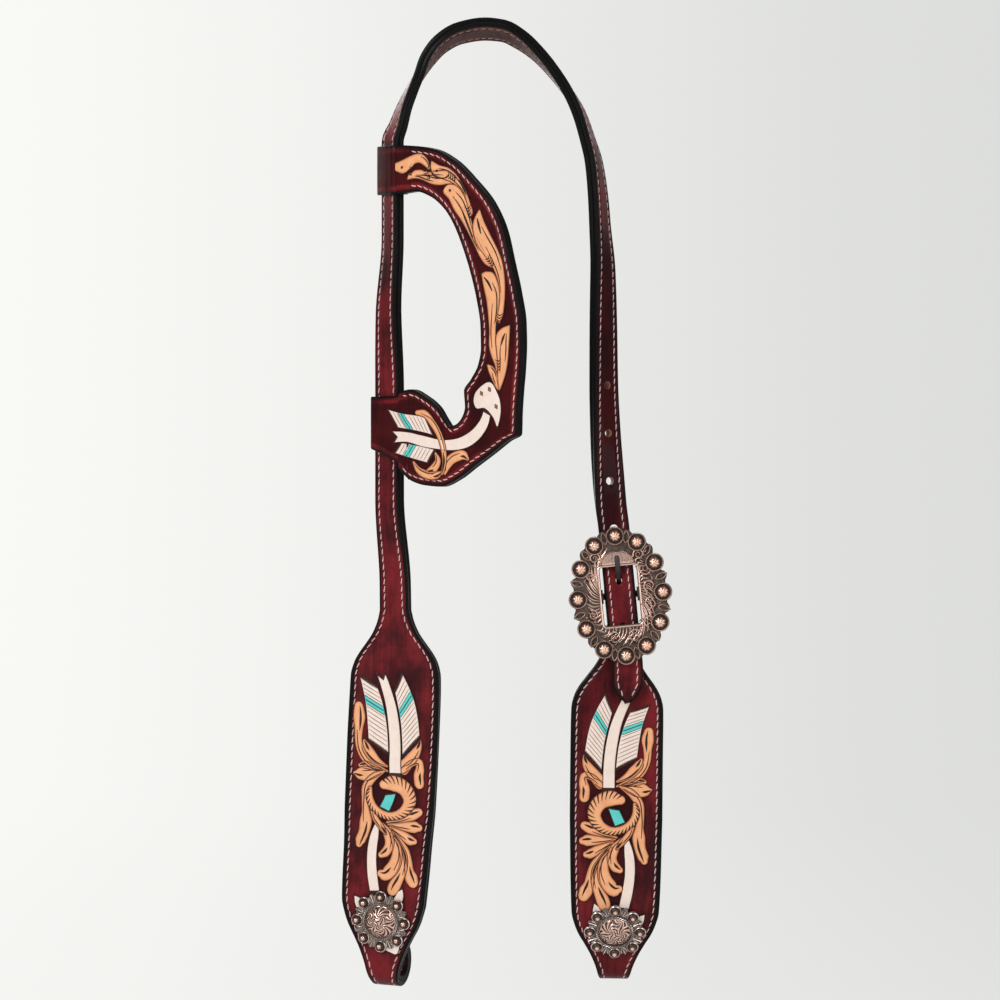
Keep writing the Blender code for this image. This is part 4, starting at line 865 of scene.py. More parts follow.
def crown_knots() -> Array:
    """Return the crown strap's way, from the left cheek over the poll to the billet's tip."""
    upper, lower = UPPER_LOOP_HEIGHT / 2 + LOOP_MARGIN, LOWER_LOOP_HEIGHT / 2 + LOOP_MARGIN
    upper_top, upper_end = UPPER_LOOP_DROP - upper, UPPER_LOOP_DROP + upper + EAR_SLIDE
    lower_top, lower_end = LOWER_LOOP_DROP - lower, LOWER_LOOP_DROP + lower + EAR_SLIDE
    below = LEFT_CHEEK_DROP - lower_end
    knots = [(x * SPAN, -lower_end - z * below, twist) for x, z, twist in LEFT_CHEEK_SHARES]
    knots += [(-0.440 * SPAN, -drop, LOWER_TWIST) for drop in (lower_end, lower_top)]
    knots += [(-0.445 * SPAN, -(lower_top + upper_end) / 2, MIDDLE_TWIST)]
    knots += [(-0.426 * SPAN, -drop, UPPER_TWIST) for drop in (upper_end, upper_top)]
    knots += [(x * SPAN, -z * upper_top, twist) for x, z, twist in LEFT_CROWN_SHARES]
    knots += [(0.0, 0.0, POLL_TWIST)]
    knots += [(x * SPAN, -z * BUCKLE_DROP, twist) for x, z, twist in RIGHT_CROWN_SHARES]
    for run in (-22.5, -15.0, 15.0, 22.5):
        knots.append((BUCKLE_PLACE + run * MM * BUCKLE_LEAN, -BUCKLE_DROP - run * MM, BUCKLE_TWIST))
    knots += [(BUCKLE_PLACE + BILLET_PLACE * BUCKLE_LEAN, -BUCKLE_DROP - run, BUCKLE_TWIST)
              for run in (BILLET_PLACE, BILLET_END)]
    return np.array(knots)


def poll_offset() -> Array:
    """Return the strap's middle over the poll, half a strap above the origin along its outer side."""
    angle = math.radians(POLL_TWIST)
    return np.array([0.0, -math.sin(angle), math.cos(angle)]) * (STRAP_THICKNESS / 2)


@dataclass
class CrownStrap:
    """The doubled strap from the left bit loop over the poll to the billet's tip."""

    paddle: Paddle = Paddle(136 * MM)
    bend_radius: float = 60 * MM
    bend_angle: float = 10.0
    point_length: float = 11 * MM
    nose: float = 1.6 * MM
    hole_half: float = 2.1 * MM
    first_hole: float = 9.7 * MM
    hole_pitch: float = 24.5 * MM

    def __post_init__(self) -> None:
        """Work out the way, the lengths of its marks and the half widths."""
        upper = twisted_way(crown_knots(), poll_offset())
        down = -unit(upper.point[1] - upper.point[0])
        end = bit_end(self.bend_radius, self.bend_angle).way(
            upper.point[0], down, upper.across[0], upper.outward[0])
        self.way = end.back().then(upper)
        self.total = float(self.way.length[-1])
        self.base = float(end.length[-1])
        self.screw = self.base - math.radians(self.bend_angle) * self.bend_radius - CLAMP_HALF

    def at_drop(self, drop: float, left: bool) -> float:
        """Return the length at which the strap lies this far below the crown, on one side."""
        top = int(np.argmax(self.way.point[:, 2]))
        part = slice(0, top) if left else slice(top, None)
        height, length = self.way.point[part, 2], self.way.length[part]
        return float(length[np.argmin(np.abs(height - (poll_offset()[2] - drop)))])

    def half_width(self, y: Array) -> Array:
        """Return half widths: the paddle's on the cheek, then the strap's, then the pointed billet's."""
        share = np.clip((self.total - y) / self.point_length, 0, 1)
        billet = self.nose + (STRAP_WIDTH / 2 - self.nose) * np.sin(share * math.pi / 2)
        above, paddle = y - self.screw, self.paddle
        return np.where(above < paddle.length + paddle.shoulder, paddle.half_width(above), billet)

    def build(self) -> None:
        """Make both plies, their holes and their stitching."""
        y = stations(0.0, self.total, 2.0 * MM, [(0.0, self.base), (self.total - 14 * MM, self.total)])
        half = blunt(y, self.half_width(y))
        rim = self.paddle.rim(y - self.screw)
        for name, finish, slot, flip in (("crown_strap_face", Finish.LEATHER, Slot.LEATHER, False),
                                         ("crown_strap_liner", Finish.LINING, Slot.LINING, True)):
            draft, ply = Draft(), Ply(CLOSED_SEAM, STRAP_THICKNESS / 2)
            ply.fill(draft, self.way, y, half, LINER_RIM if flip else rim, flip)
            made = draft.piece(name + "_leather", finish, Body.CROWN, slot, [name])
            cut_holes(made, self.holes(flip), Body.CROWN)
        y = np.linspace(2 * MM, self.total - 3.2 * MM, 3000)
        half = self.half_width(y)
        x = half - np.minimum(STITCH_INSET, 0.5 * half)
        sew("crown_strap", self.way, [(-x, y), (x, y)], STRAP_THICKNESS / 2, Body.CROWN)

    def holes(self, lined: bool) -> Draft:
        """Return round rods for one ply's holes and an oval one for the slot of the slanted tongue.

        Args:
            lined: True for the inner ply, where the slot is longer and stands lower.

        Returns:
            The rods.
        """
        drops = BUCKLE_DROP - self.first_hole - self.hole_pitch * np.arange(1, 5)
        bar, half = self.at_drop(BUCKLE_DROP, False), self.hole_half
        rods = [(self.at_drop(drop, False), half, half) for drop in drops] + [(bar + 16.6 * MM, half, half)]
        rods.append((bar - 6.4 * MM, 1.7 * MM, 4.4 * MM) if lined else (bar - 8.9 * MM, 1.7 * MM, 3.2 * MM))
        draft = Draft()
        angle = np.arange(24) * math.tau / 24
        for y, wide, long in rods:
            rings = self.way.plane(y).place(wide * np.cos(angle), long * np.sin(angle),
                                            np.array([[-6.0], [6.0]]) * MM)
            draft.tube(rings)
        return draft


@dataclass
class RightCheek:
    """The right cheek piece: its liner folds round the heel bar, and its end makes the bit loop."""

    crown: CrownStrap
    paddle: Paddle = Paddle(124 * MM)
    bend_radius: float = 33 * MM
    bend_angle: float = 31.0
    neck: tuple = ((0.42, 0.1), (0.0, 0.19), (-0.4, 0.29), (-0.62, 0.4), (-1.0, 1.0))
    neck_sway: float = 2.4 * MM
    neck_length: float = 150 * MM
    face_drop: float = 14.3 * MM
    tongue_slot: tuple[float, float, float] = (2.3 * MM, -3.75 * MM, 6.75 * MM)

    def __post_init__(self) -> None:
        """Work out the heel bar's place and the ways of the face and of the liner's fold."""
        plane = self.crown.way.plane(self.crown.at_drop(BUCKLE_DROP, False))
        self.buckle = replace(plane, right=-plane.right, up=-plane.up)
        self.bar = bar = self.buckle.raised(-BAR_DEPTH)
        knots = [(0.0, 0.0, BUCKLE_TWIST), (9 * MM * BUCKLE_LEAN, -9 * MM, BUCKLE_TWIST)]
        knots += [(x * self.neck_sway, -z * self.neck_length, BUCKLE_TWIST) for x, z in self.neck]
        to_middle = BAR_DEPTH - STRAP_THICKNESS - SEAM
        way = twisted_way(np.array(knots), bar.origin).raised(to_middle)
        keep = bar.origin[2] - way.point[:, 2] > self.face_drop
        straight = Way(*(rows[keep] for rows in way.rows()))
        down = unit(straight.point[-1] - straight.point[-2])
        end = bit_end(self.bend_radius, self.bend_angle).way(
            straight.point[-1], down, straight.across[-1], straight.outward[-1])
        self.way = straight.then(end)
        self.total = float(self.way.length[-1])
        self.base = float(straight.length[-1])
        self.screw = self.base + math.radians(self.bend_angle) * self.bend_radius + CLAMP_HALF
        leg = BAR_RADIUS + BAR_PLAY + PLY / 2
        middle = to_middle - (PLY + SEAM) / 2
        tail = middle - PLY - SEAM
        view = SideView(31 * MM, tail, math.pi).run(20 * MM).step_over(6 * MM, leg + tail).run(5 * MM)
        view.turn(leg, 180.0).run(5 * MM).step_over(9 * MM, middle - leg)
        fold = view.way(bar.origin, -bar.up, bar.right, bar.out)
        lined = self.way.raised(-(PLY + SEAM) / 2)
        facing = np.sign(fold.across[0] @ lined.across[0])
        self.liner_way = replace(fold, across=facing * fold.across).then(lined)
        self.fold = float(fold.length[-1])

    def half_width(self, y: Array) -> Array:
        """Return half widths along the face."""
        return self.paddle.half_width(self.screw - y)

    def build(self) -> None:
        """Make the face, the folded liner and the stitching."""
        y = stations(0.0, self.total, 2.0 * MM, [(self.base, self.total)])
        half, rim = blunt(y, self.half_width(y)), self.paddle.rim(self.screw - y)
        face = Draft()
        Ply(CLOSED_SEAM, STRAP_THICKNESS / 2).fill(face, self.way, y, half, rim)
        face.piece("right_cheek_face_leather", Finish.LEATHER, Body.CHEEK, Slot.LEATHER, ["right_cheek_face"])
        total = float(self.liner_way.length[-1])
        y = stations(0.0, total, 2.0 * MM, [(0.0, self.fold), (total - (self.total - self.base), total)])
        widths = np.where(y < self.fold, STRAP_WIDTH / 2, self.half_width(y - self.fold))
        liner = Draft()
        Ply(-PLY / 2 - 0.1 * MM, PLY / 2).fill(liner, self.liner_way, y, blunt(y, widths), LINER_RIM, True)
        made = liner.piece("right_cheek_liner_leather", Finish.LINING, Body.CHEEK, Slot.LINING,
                           ["right_cheek_liner"])
        cut_holes(made, self.slot(), Body.CHEEK)
        y = np.linspace(2.5 * MM, self.total - 2 * MM, 900)
        x = self.half_width(y) - STITCH_INSET
        sew("right_cheek", self.way, [(-x, y), (x, y)], STRAP_THICKNESS / 2, Body.CHEEK)

    def slot(self) -> Draft:
        """Return a straight box for the slot that lets the tongue through the fold."""
        wide, low, high = self.tongue_slot
        draft = Draft()
        box = self.bar.place(np.array([[-wide], [wide]]), np.array([low, high, high, low]),
                             np.array([-1, -1, 1, 1]) * high)
        draft.tube(box)
        return draft


# ---- ear piece ----

EAR_REACH = 80 * MM
EAR_PLY = 2.4 * MM
EAR_THICKNESS = 2 * EAR_PLY + SEAM
LOOP_WALL = 2.25 * MM
LOOP_HALF = STRAP_WIDTH / 2 + LOOP_WALL
LOOP_FRONT = STRAP_THICKNESS / 2 + LOOP_WALL
FLAP_REACH = 6.5 * MM
FLAP_HALF = 0.5 * MM
EAR_OUTLINE_SHARES = (
    (0.155, 0.005, 0.140, 0.138), (0.295, 0.016, 0.255, 0.153), (0.450, 0.049, 0.374, 0.192),
    (0.603, 0.106, 0.450, 0.239), (0.752, 0.176, 0.506, 0.290), (0.850, 0.257, 0.550, 0.338),
    (0.906, 0.346, 0.594, 0.395), (0.962, 0.441, 0.634, 0.461), (0.996, 0.524, 0.662, 0.533),
    (1.000, 0.590, 0.666, 0.598), (0.992, 0.658, 0.642, 0.648), (0.976, 0.727, 0.587, 0.687),
    (0.965, 0.790, 0.530, 0.722), (0.960, 0.848, 0.538, 0.768), (0.876, 0.868, 0.512, 0.799),
    (0.761, 0.901, 0.462, 0.819), (0.607, 0.943, 0.413, 0.824), (0.475, 0.979, 0.369, 0.802),
    (0.344, 1.000, 0.312, 0.767), (0.212, 0.996, 0.215, 0.736), (0.098, 0.982, 0.098, 0.715))


@dataclass
class EarPiece:
    """The slip ear: two plies round the ear opening and a leather loop at either end."""

    crown: CrownStrap
    rim: float = 1.1 * MM
    face_rim: float = 1.3 * MM
    spread: float = 52.0
    forward: float = 2.9 * MM
    rows: int = 360

    def __post_init__(self) -> None:
        """Work out the planes of the two loops and of the ear plate."""
        self.upper = self.crown.way.plane(self.crown.at_drop(UPPER_LOOP_DROP, True))
        self.lower = self.crown.way.plane(self.crown.at_drop(LOWER_LOOP_DROP, True))
        spread = math.radians(self.spread)
        right = np.array([math.sin(spread), -math.cos(spread), 0.0])
        up = np.array([0.0, 0.0, 1.0])
        corner = self.lower.origin + self.lower.right * (LOOP_HALF + SEAM) + self.lower.out * self.forward
        corner[2] = self.upper.origin[2] + UPPER_LOOP_HEIGHT / 2
        self.plate = Plane(corner, right, up, np.cross(right, up))

    def crossing(self, loop: Plane, across: float, height: float) -> float:
        """Return where a layer this high above the plate reaches a place across the loop."""
        start = (self.plate.raised(height).origin - loop.origin) @ loop.right
        return (across - start) / (self.plate.right @ loop.right)

    def clear_of(self, loop: Plane) -> float:
        """Return where the leather may start, just clear of a loop's side."""
        return max(self.crossing(loop, LOOP_HALF + SEAM, side * EAR_THICKNESS / 2) for side in (-1, 1))

    def edges(self) -> tuple[Array, Array]:
        """Return the outer and the inner edge as rows of place across and up on the plate."""
        scale = np.array([EAR_REACH, -EAR_HEIGHT, EAR_REACH, -EAR_HEIGHT])
        start, end = self.clear_of(self.upper), self.clear_of(self.lower)
        rows = np.array([(start, 0.0, start, -0.143 * EAR_HEIGHT), *(np.array(EAR_OUTLINE_SHARES) * scale),
                         (end, -0.950 * EAR_HEIGHT, end, -0.721 * EAR_HEIGHT)])
        station = chords((rows[:, :2] + rows[:, 2:]) / 2)
        made = Curve(station, rows)(np.linspace(0, station[-1], self.rows))
        return made[:, :2], made[:, 2:]

    def build(self) -> None:
        """Make the plies, the stitching and the loops."""
        outer, inner = self.edges()
        half = np.linalg.norm(outer - inner, axis=1) / 2
        strip = EarStrip(self.plate, (outer + inner) / 2, unit(outer - inner))
        count = np.arange(self.rows)
        ease = np.minimum(np.minimum(count, count[::-1]) * 0.25, 1.0)
        half = half - 0.5 * MM * (1 - np.sqrt(1 - (1 - ease) ** 2))
        for name, finish, slot, flip in (("ear_piece_face", Finish.EAR, Slot.EAR_LEATHER, False),
                                         ("ear_piece_liner", Finish.LINING, Slot.LINING, True)):
            draft, ply = Draft(), Ply(CLOSED_SEAM, EAR_THICKNESS / 2, full_half=7 * MM)
            ply.fill(draft, strip, count * MM, half, LINER_RIM if flip else self.face_rim, flip)
            draft.piece(name + "_leather", finish, Body.EAR, slot, [name])
        lines = []
        for side in (-1, 1):
            place = (strip.middle + strip.across * side * (half - STITCH_INSET)[:, None])[4:-4]
            lines.append((place[:, 0], place[:, 1]))
        sew("ear_piece", self.plate, lines, EAR_THICKNESS / 2, Body.EAR)
        self.make_loop("upper_ear_loop", self.upper, UPPER_LOOP_HEIGHT, 0.0)
        self.make_loop("lower_ear_loop", self.lower, LOWER_LOOP_HEIGHT, 3.6 * MM)

    def make_loop(self, name: str, loop: Plane, height: float, slope: float) -> None:
        """Make one loop: a flat leather band bent round the strap, with a tab behind the ear piece.

        The band is a rounded bar carried round an oblong, and the tab a flat bar along the plate.

        Args:
            name: The CAD node that it stands for.
            loop: The plane of the strap there.
            height: Height of the loop along the strap.
            slope: How far the lower edge rises or falls at its sides.
        """
        band, corner = 0.875 * MM, 2.1 * MM
        path, outward = oblong(LOOP_HALF - band, LOOP_FRONT - band, corner, 7)
        depth, tall = slab(band, height / 2, 0.7 * MM)
        flat = path[:, None] + outward[:, None] * depth[:, None]
        up = tall - slope * np.clip(flat[..., 0] / LOOP_HALF, -1, 0.6) * (tall < 0)
        draft = Draft()
        draft.tube(loop.place(flat[..., 0], up, flat[..., 1]), chords(path)[:, None], tall,
                   (height / 2 - np.abs(tall)) / self.rim, closed=True)
        start, tab = self.clear_of(loop), 0.9 * MM
        behind = -EAR_THICKNESS / 2 - SEAM - tab
        x = np.linspace(self.crossing(loop, LOOP_HALF, behind) - 0.6 * MM, start + 8 * MM, 12)
        tall = blunt(x, np.full(12, height / 2 - 1.2 * MM), 1.2 * MM)[:, None]
        thick, up = slab(tab, height / 2, 0.6 * MM)
        middle = loop.origin[2] - self.plate.origin[2]
        draft.tube(self.plate.place(x[:, None], middle + tall * up / (height / 2), behind + thick),
                   x[:, None], up, 3.0)
        self.wrap(draft, loop, height, start, slope)
        draft.piece(name + "_leather", Finish.EAR, Body.EAR, Slot.EAR_LEATHER, [name], 40.0)

    def flap(self, loop: Plane) -> tuple[Array, Array]:
        """Return the middle line of a flap at height 0 and its outer sides.

        The line is a quadratic curve from the loop's front to the face, over the corner where they
        meet.
        """
        sink = FLAP_HALF - 0.15 * MM
        first = loop.place(2.0 * MM, 0.0, LOOP_FRONT - sink)
        last = self.plate.place(self.clear_of(loop) + FLAP_REACH, 0.0, EAR_THICKNESS / 2 - sink)
        facing = np.stack([loop.right[:2], -self.plate.right[:2]], axis=1)
        step = np.linalg.solve(facing, (last - first)[:2])
        corner = first + loop.right * step[0]
        last[2] = corner[2] = first[2] = 0.0
        t = np.linspace(0, 1, 28)[:, None]
        line = (1 - t) ** 2 * first + 2 * t * (1 - t) * corner + t * t * last
        return line, unit((1 - t) * loop.out + t * self.plate.out)

    def wrap(self, draft: Draft, loop: Plane, height: float, start: float, slope: float) -> None:
        """Add the leather that runs from the front of a loop onto the ear piece's face.

        Its upper and lower edges run evenly from the loop's to the ear piece's own.

        Args:
            draft: The mesh to add to.
            loop: The plane of the loop.
            height: Height of the loop.
            start: Where the ear piece starts on its plate.
            slope: How far the loop's lower edge falls towards its right side.
        """
        line, normal = self.flap(loop)
        t = np.linspace(0, 1, len(line))[:, None]
        quarter = self.rows // 4
        near = slice(0, quarter) if loop is self.upper else slice(-quarter, None)
        edges = [edge[near] for edge in self.edges()]
        sides = [edge[np.argmin(np.abs(edge[:, 0] - start - FLAP_REACH)), 1] for edge in edges]
        top, low = (self.plate.origin[2] + float(side) for side in sorted(sides, reverse=True))
        high, base = loop.origin[2] + height / 2, loop.origin[2] - height / 2 - 0.25 * slope
        high = high + (top - high) * t ** 1.3
        base = base + (low - base) * t
        thick, tall = slab(FLAP_HALF, 1.0, 0.03)
        z = (high + base) / 2 + (high - base) / 2 * tall
        rings = line[:, None] + normal[:, None] * thick[:, None]
        rings[..., 2] = z
        draft.tube(rings, t, z, (high - base) / 2 * (1 - np.abs(tall)) / self.rim)


def oblong(wide: float, tall: float, corner: float, count: int) -> tuple[Array, Array]:
    """Return the path of a rounded oblong, made of four quarter circles round its corners' middles.

    Args:
        wide: Half its width.
        tall: Half its height.
        corner: Radius of its corners.
        count: Points on each corner.

    Returns:
        Rows of the path's places and of its outward directions.
    """
    angle = np.linspace(0, math.pi / 2, count) + np.arange(4)[:, None] * math.pi / 2
    outward = rows_of(np.cos(angle), np.sin(angle))
    middle = np.array([(1, 1), (-1, 1), (-1, -1), (1, -1)])[:, None] * (np.array([wide, tall]) - corner)
    return (middle + outward * corner).reshape(-1, 2), outward.reshape(-1, 2)


def slab(thick: float, tall: float, corner: float) -> tuple[Array, Array]:
    """Return the closed section of a flat bar with rounded corners: quarter circles joined by rows.

    Args:
        thick: Half its thickness.
        tall: Half its height.
        corner: Radius of its corners along its height; across, they stay inside its thickness.

    Returns:
        Its points' depths and heights.
    """
    angle = np.radians([5.0, 30.0, 60.0, 85.0])
    flat = min(corner, 0.8 * thick) if corner > thick else corner
    depth, rise = thick - flat * (1 - np.cos(angle)), tall - corner * (1 - np.sin(angle))
    rows = np.linspace(-1, 1, 11)[1:-1] * (tall - 1.6 * corner)
    front = np.concatenate([depth[::-1], np.full(9, thick), depth])
    height = np.concatenate([-rise[::-1], rows, rise])
    return np.concatenate([front, -front[::-1]]), np.concatenate([height, height[::-1]])


@dataclass(frozen=True)
class FlapGround:
    """The ear plate as ground for tooling, which follows the flap where the leather bends to the loop."""

    plate: Plane
    line: Array
    normal: Array

    def place(self, x: Values, y: Values, h: Values) -> Array:
        """Return the plate's place, or the flap's place straight before it as seen from the front."""
        x, y, h = np.broadcast_arrays(x, y, h)
        flat = self.plate.place(x, y, h)
        sight = self.plate.place(x, y, EAR_THICKNESS / 2)[..., 0]
        point, normal = (read_rows(sight, self.line[:, 0], rows) for rows in (self.line, self.normal))
        bent = point + normal * (h - EAR_THICKNESS / 2 + FLAP_HALF)[..., None]
        bent[..., 2] = flat[..., 2]
        return np.where((sight < self.line[-1, 0])[..., None], bent, flat)


@dataclass(frozen=True)
class EarStrip:
    """The ground of the curved ear strip: y counts stations in millimetres, x runs between its edges."""

    plate: Plane
    middle: Array
    across: Array

    def place(self, x: Values, y: Values, h: Values) -> Array:
        """Return the plate's place at the station's middle plus its direction across times x."""
        index = np.rint(y / MM).astype(int)
        flat = self.middle[index] + self.across[index] * x[..., None]
        return self.plate.place(flat[..., 0], flat[..., 1], h)


# ---- tooling ----


@dataclass(frozen=True)
class Patch:
    """A tooled shape between a left and a right edge, both rows of places on the ground."""

    left: Array
    right: Array
    notch: float = 0.0

    @classmethod
    def leaf(cls, controls: Sequence[Control], mirror: bool = False, rows: int = 26) -> Patch:
        """Return a leaf round a smooth spine.

        The edges stand a half width to either side of the spine, and both tips are rounded: widths
        fall as a cosine while the spine runs on by a sine.

        Args:
            controls: Place across, place up and half width of each point, in millimetres.
            mirror: True to turn it over from left to right.
            rows: How many rows lie between the tips.

        Returns:
            The leaf's patch.
        """
        points = np.array(controls) * MM * np.array([-1.0 if mirror else 1.0, 1.0, 1.0])
        station = chords(points[:, :2])
        at = np.linspace(0, station[-1], rows)
        spine = Curve(station, points[:, :2], steady=False)(at)
        padded = np.clip(np.arange(-3, rows + 3), 0, rows - 1)
        heading = unit(np.gradient(spine, axis=0))[padded]
        width = Curve(station, points[:, 2])(at)[padded, None]
        angle = np.radians([-78.0, -55.0, -28.0] + [0.0] * rows + [28.0, 55.0, 78.0])[:, None]
        spine = spine[padded] + heading * width * np.sin(angle)
        side = rows_of(-heading[:, 1], heading[:, 0]) * width * np.cos(angle)
        return cls(spine + side, spine - side)

    @classmethod
    def between(cls, left: Sequence, right: Sequence, mirror: bool = False, rows: int = 24) -> Patch:
        """Return a patch between two smooth edges given by places in millimetres."""
        sign = np.array([-1.0 if mirror else 1.0, 1.0])
        edges = []
        for controls in (left, right):
            points = np.array(controls, float) * MM * sign
            station = chords(points)
            edges.append(Curve(station, points, steady=False)(np.linspace(0, station[-1], rows)))
        return cls(*edges)

    def at(self, t: Array, v: Array) -> Array:
        """Return places at shares t along and v from left to right."""
        index = np.arange(len(self.left))
        left, right = (read_rows(t * index[-1], index, edge) for edge in (self.left, self.right))
        return left + (right - left) * v[..., None]

    def part(self, t: tuple[float, float], v: tuple[float, float], rows: int = 16) -> Patch:
        """Return the part of the patch within two spans."""
        return Patch(*(self.at(np.linspace(*t, rows), np.full(rows, share)) for share in v))

    def grown(self, amount: float) -> Patch:
        """Return the patch with its outline moved outwards on every side."""
        across = unit(self.right - self.left + 1e-9) * amount
        middle = (self.left + self.right) / 2
        push = np.zeros_like(middle)
        push[0], push[-1] = unit(middle[0] - middle[1]) * amount, unit(middle[-1] - middle[-2]) * amount
        return replace(self, left=self.left - across + push, right=self.right + across + push)

    def dish(self) -> Array:
        """Return how far the middle of each row lies below its edges: a share of its width."""
        return 0.05 * np.minimum(np.linalg.norm(self.right - self.left, axis=1) / 2, 3 * MM)

    def fill(self, draft: Draft, ground: Ground, low: float, high: float, bevel: float = 0.25 * MM,
             dished: bool = True, hollow: bool = False) -> None:
        """Lay the patch on a ground as a thin solid with eased edges.

        The top is high less the row's dish times 1 minus v squared, with v from -1 to 1, and its
        edges stand lower by a share of the bevel. A notch pushes the first end in by its depth times
        1 minus the size of v, and fades over four times that depth.

        Args:
            draft: The mesh to add to.
            ground: What it lies on.
            low: Height of its underside.
            high: Height of its top's edges.
            bevel: Width and drop of the eased edge.
            dished: False for a flat top.
            hollow: True for a paint value of 0 all over.
        """
        full = np.linalg.norm(self.right - self.left, axis=1)
        ease = np.minimum(bevel / np.maximum(full, 1e-6), 0.3)[:, None]
        v = np.array([-1, -0.55, 0, 0.55, 1.0])[None] * (0.5 - ease) + 0.5
        v = np.concatenate([0 * v[:, :2], v, 0 * v[:, :2] + 1], axis=1)
        top = high - (self.dish()[:, None] if dished else 0.0) * (1 - (2 * v - 1) ** 2)
        top[:, [1, -2]] = high - 0.6 * bevel
        top[[0, -1], 1:-1] = high - 0.6 * bevel
        top[:, [0, -1]] = low
        if self.notch:
            top = np.concatenate([top, 0 * v[:, 2:7] + low], axis=1)
            v = np.concatenate([v, v[:, 6:1:-1]], axis=1)
        place = self.left[:, None] + (self.right - self.left)[:, None] * v[..., None]
        if self.notch:
            middle = (self.left + self.right) / 2
            fade = np.clip(1 - chords(middle) / (4 * self.notch), 0, 1)[:, None]
            push = self.notch * fade * (1 - np.abs(2 * v - 1))
            place = place + unit(middle[1] - middle[0]) * push[..., None]
        edge = np.minimum(v, 1 - v) * full[:, None]
        along = np.arange(len(full))[:, None]
        edge = np.minimum(edge, np.minimum(along, along[::-1]) * 0.8 * MM)
        if self.notch:
            place, edge, along = (np.concatenate([rows[:1], rows]) for rows in (place, edge, along))
            v, top = np.concatenate([v[:1], v]), np.concatenate([0 * top[:1] + low, top])
        draft.tube(ground.place(place[..., 0], place[..., 1], top), paint=0.0 if hollow else edge / MM)


def scratch(patch: Patch, path: Sequence[tuple[float, float, float]], rows: int = 12) -> Patch:
    """Return a thin cut that follows shares t and v on a patch, with half widths in millimetres.

    Args:
        patch: The patch that is cut.
        path: Share along, share across and half width of each point of the cut.
        rows: How many rows the cut has.

    Returns:
        The patch of the cut.
    """
    points = np.array(path, float)
    place = patch.at(points[:, 0], points[:, 1]) / MM
    return Patch.leaf([(x, y, w) for (x, y), w in zip(place, points[:, 2])], rows=rows)


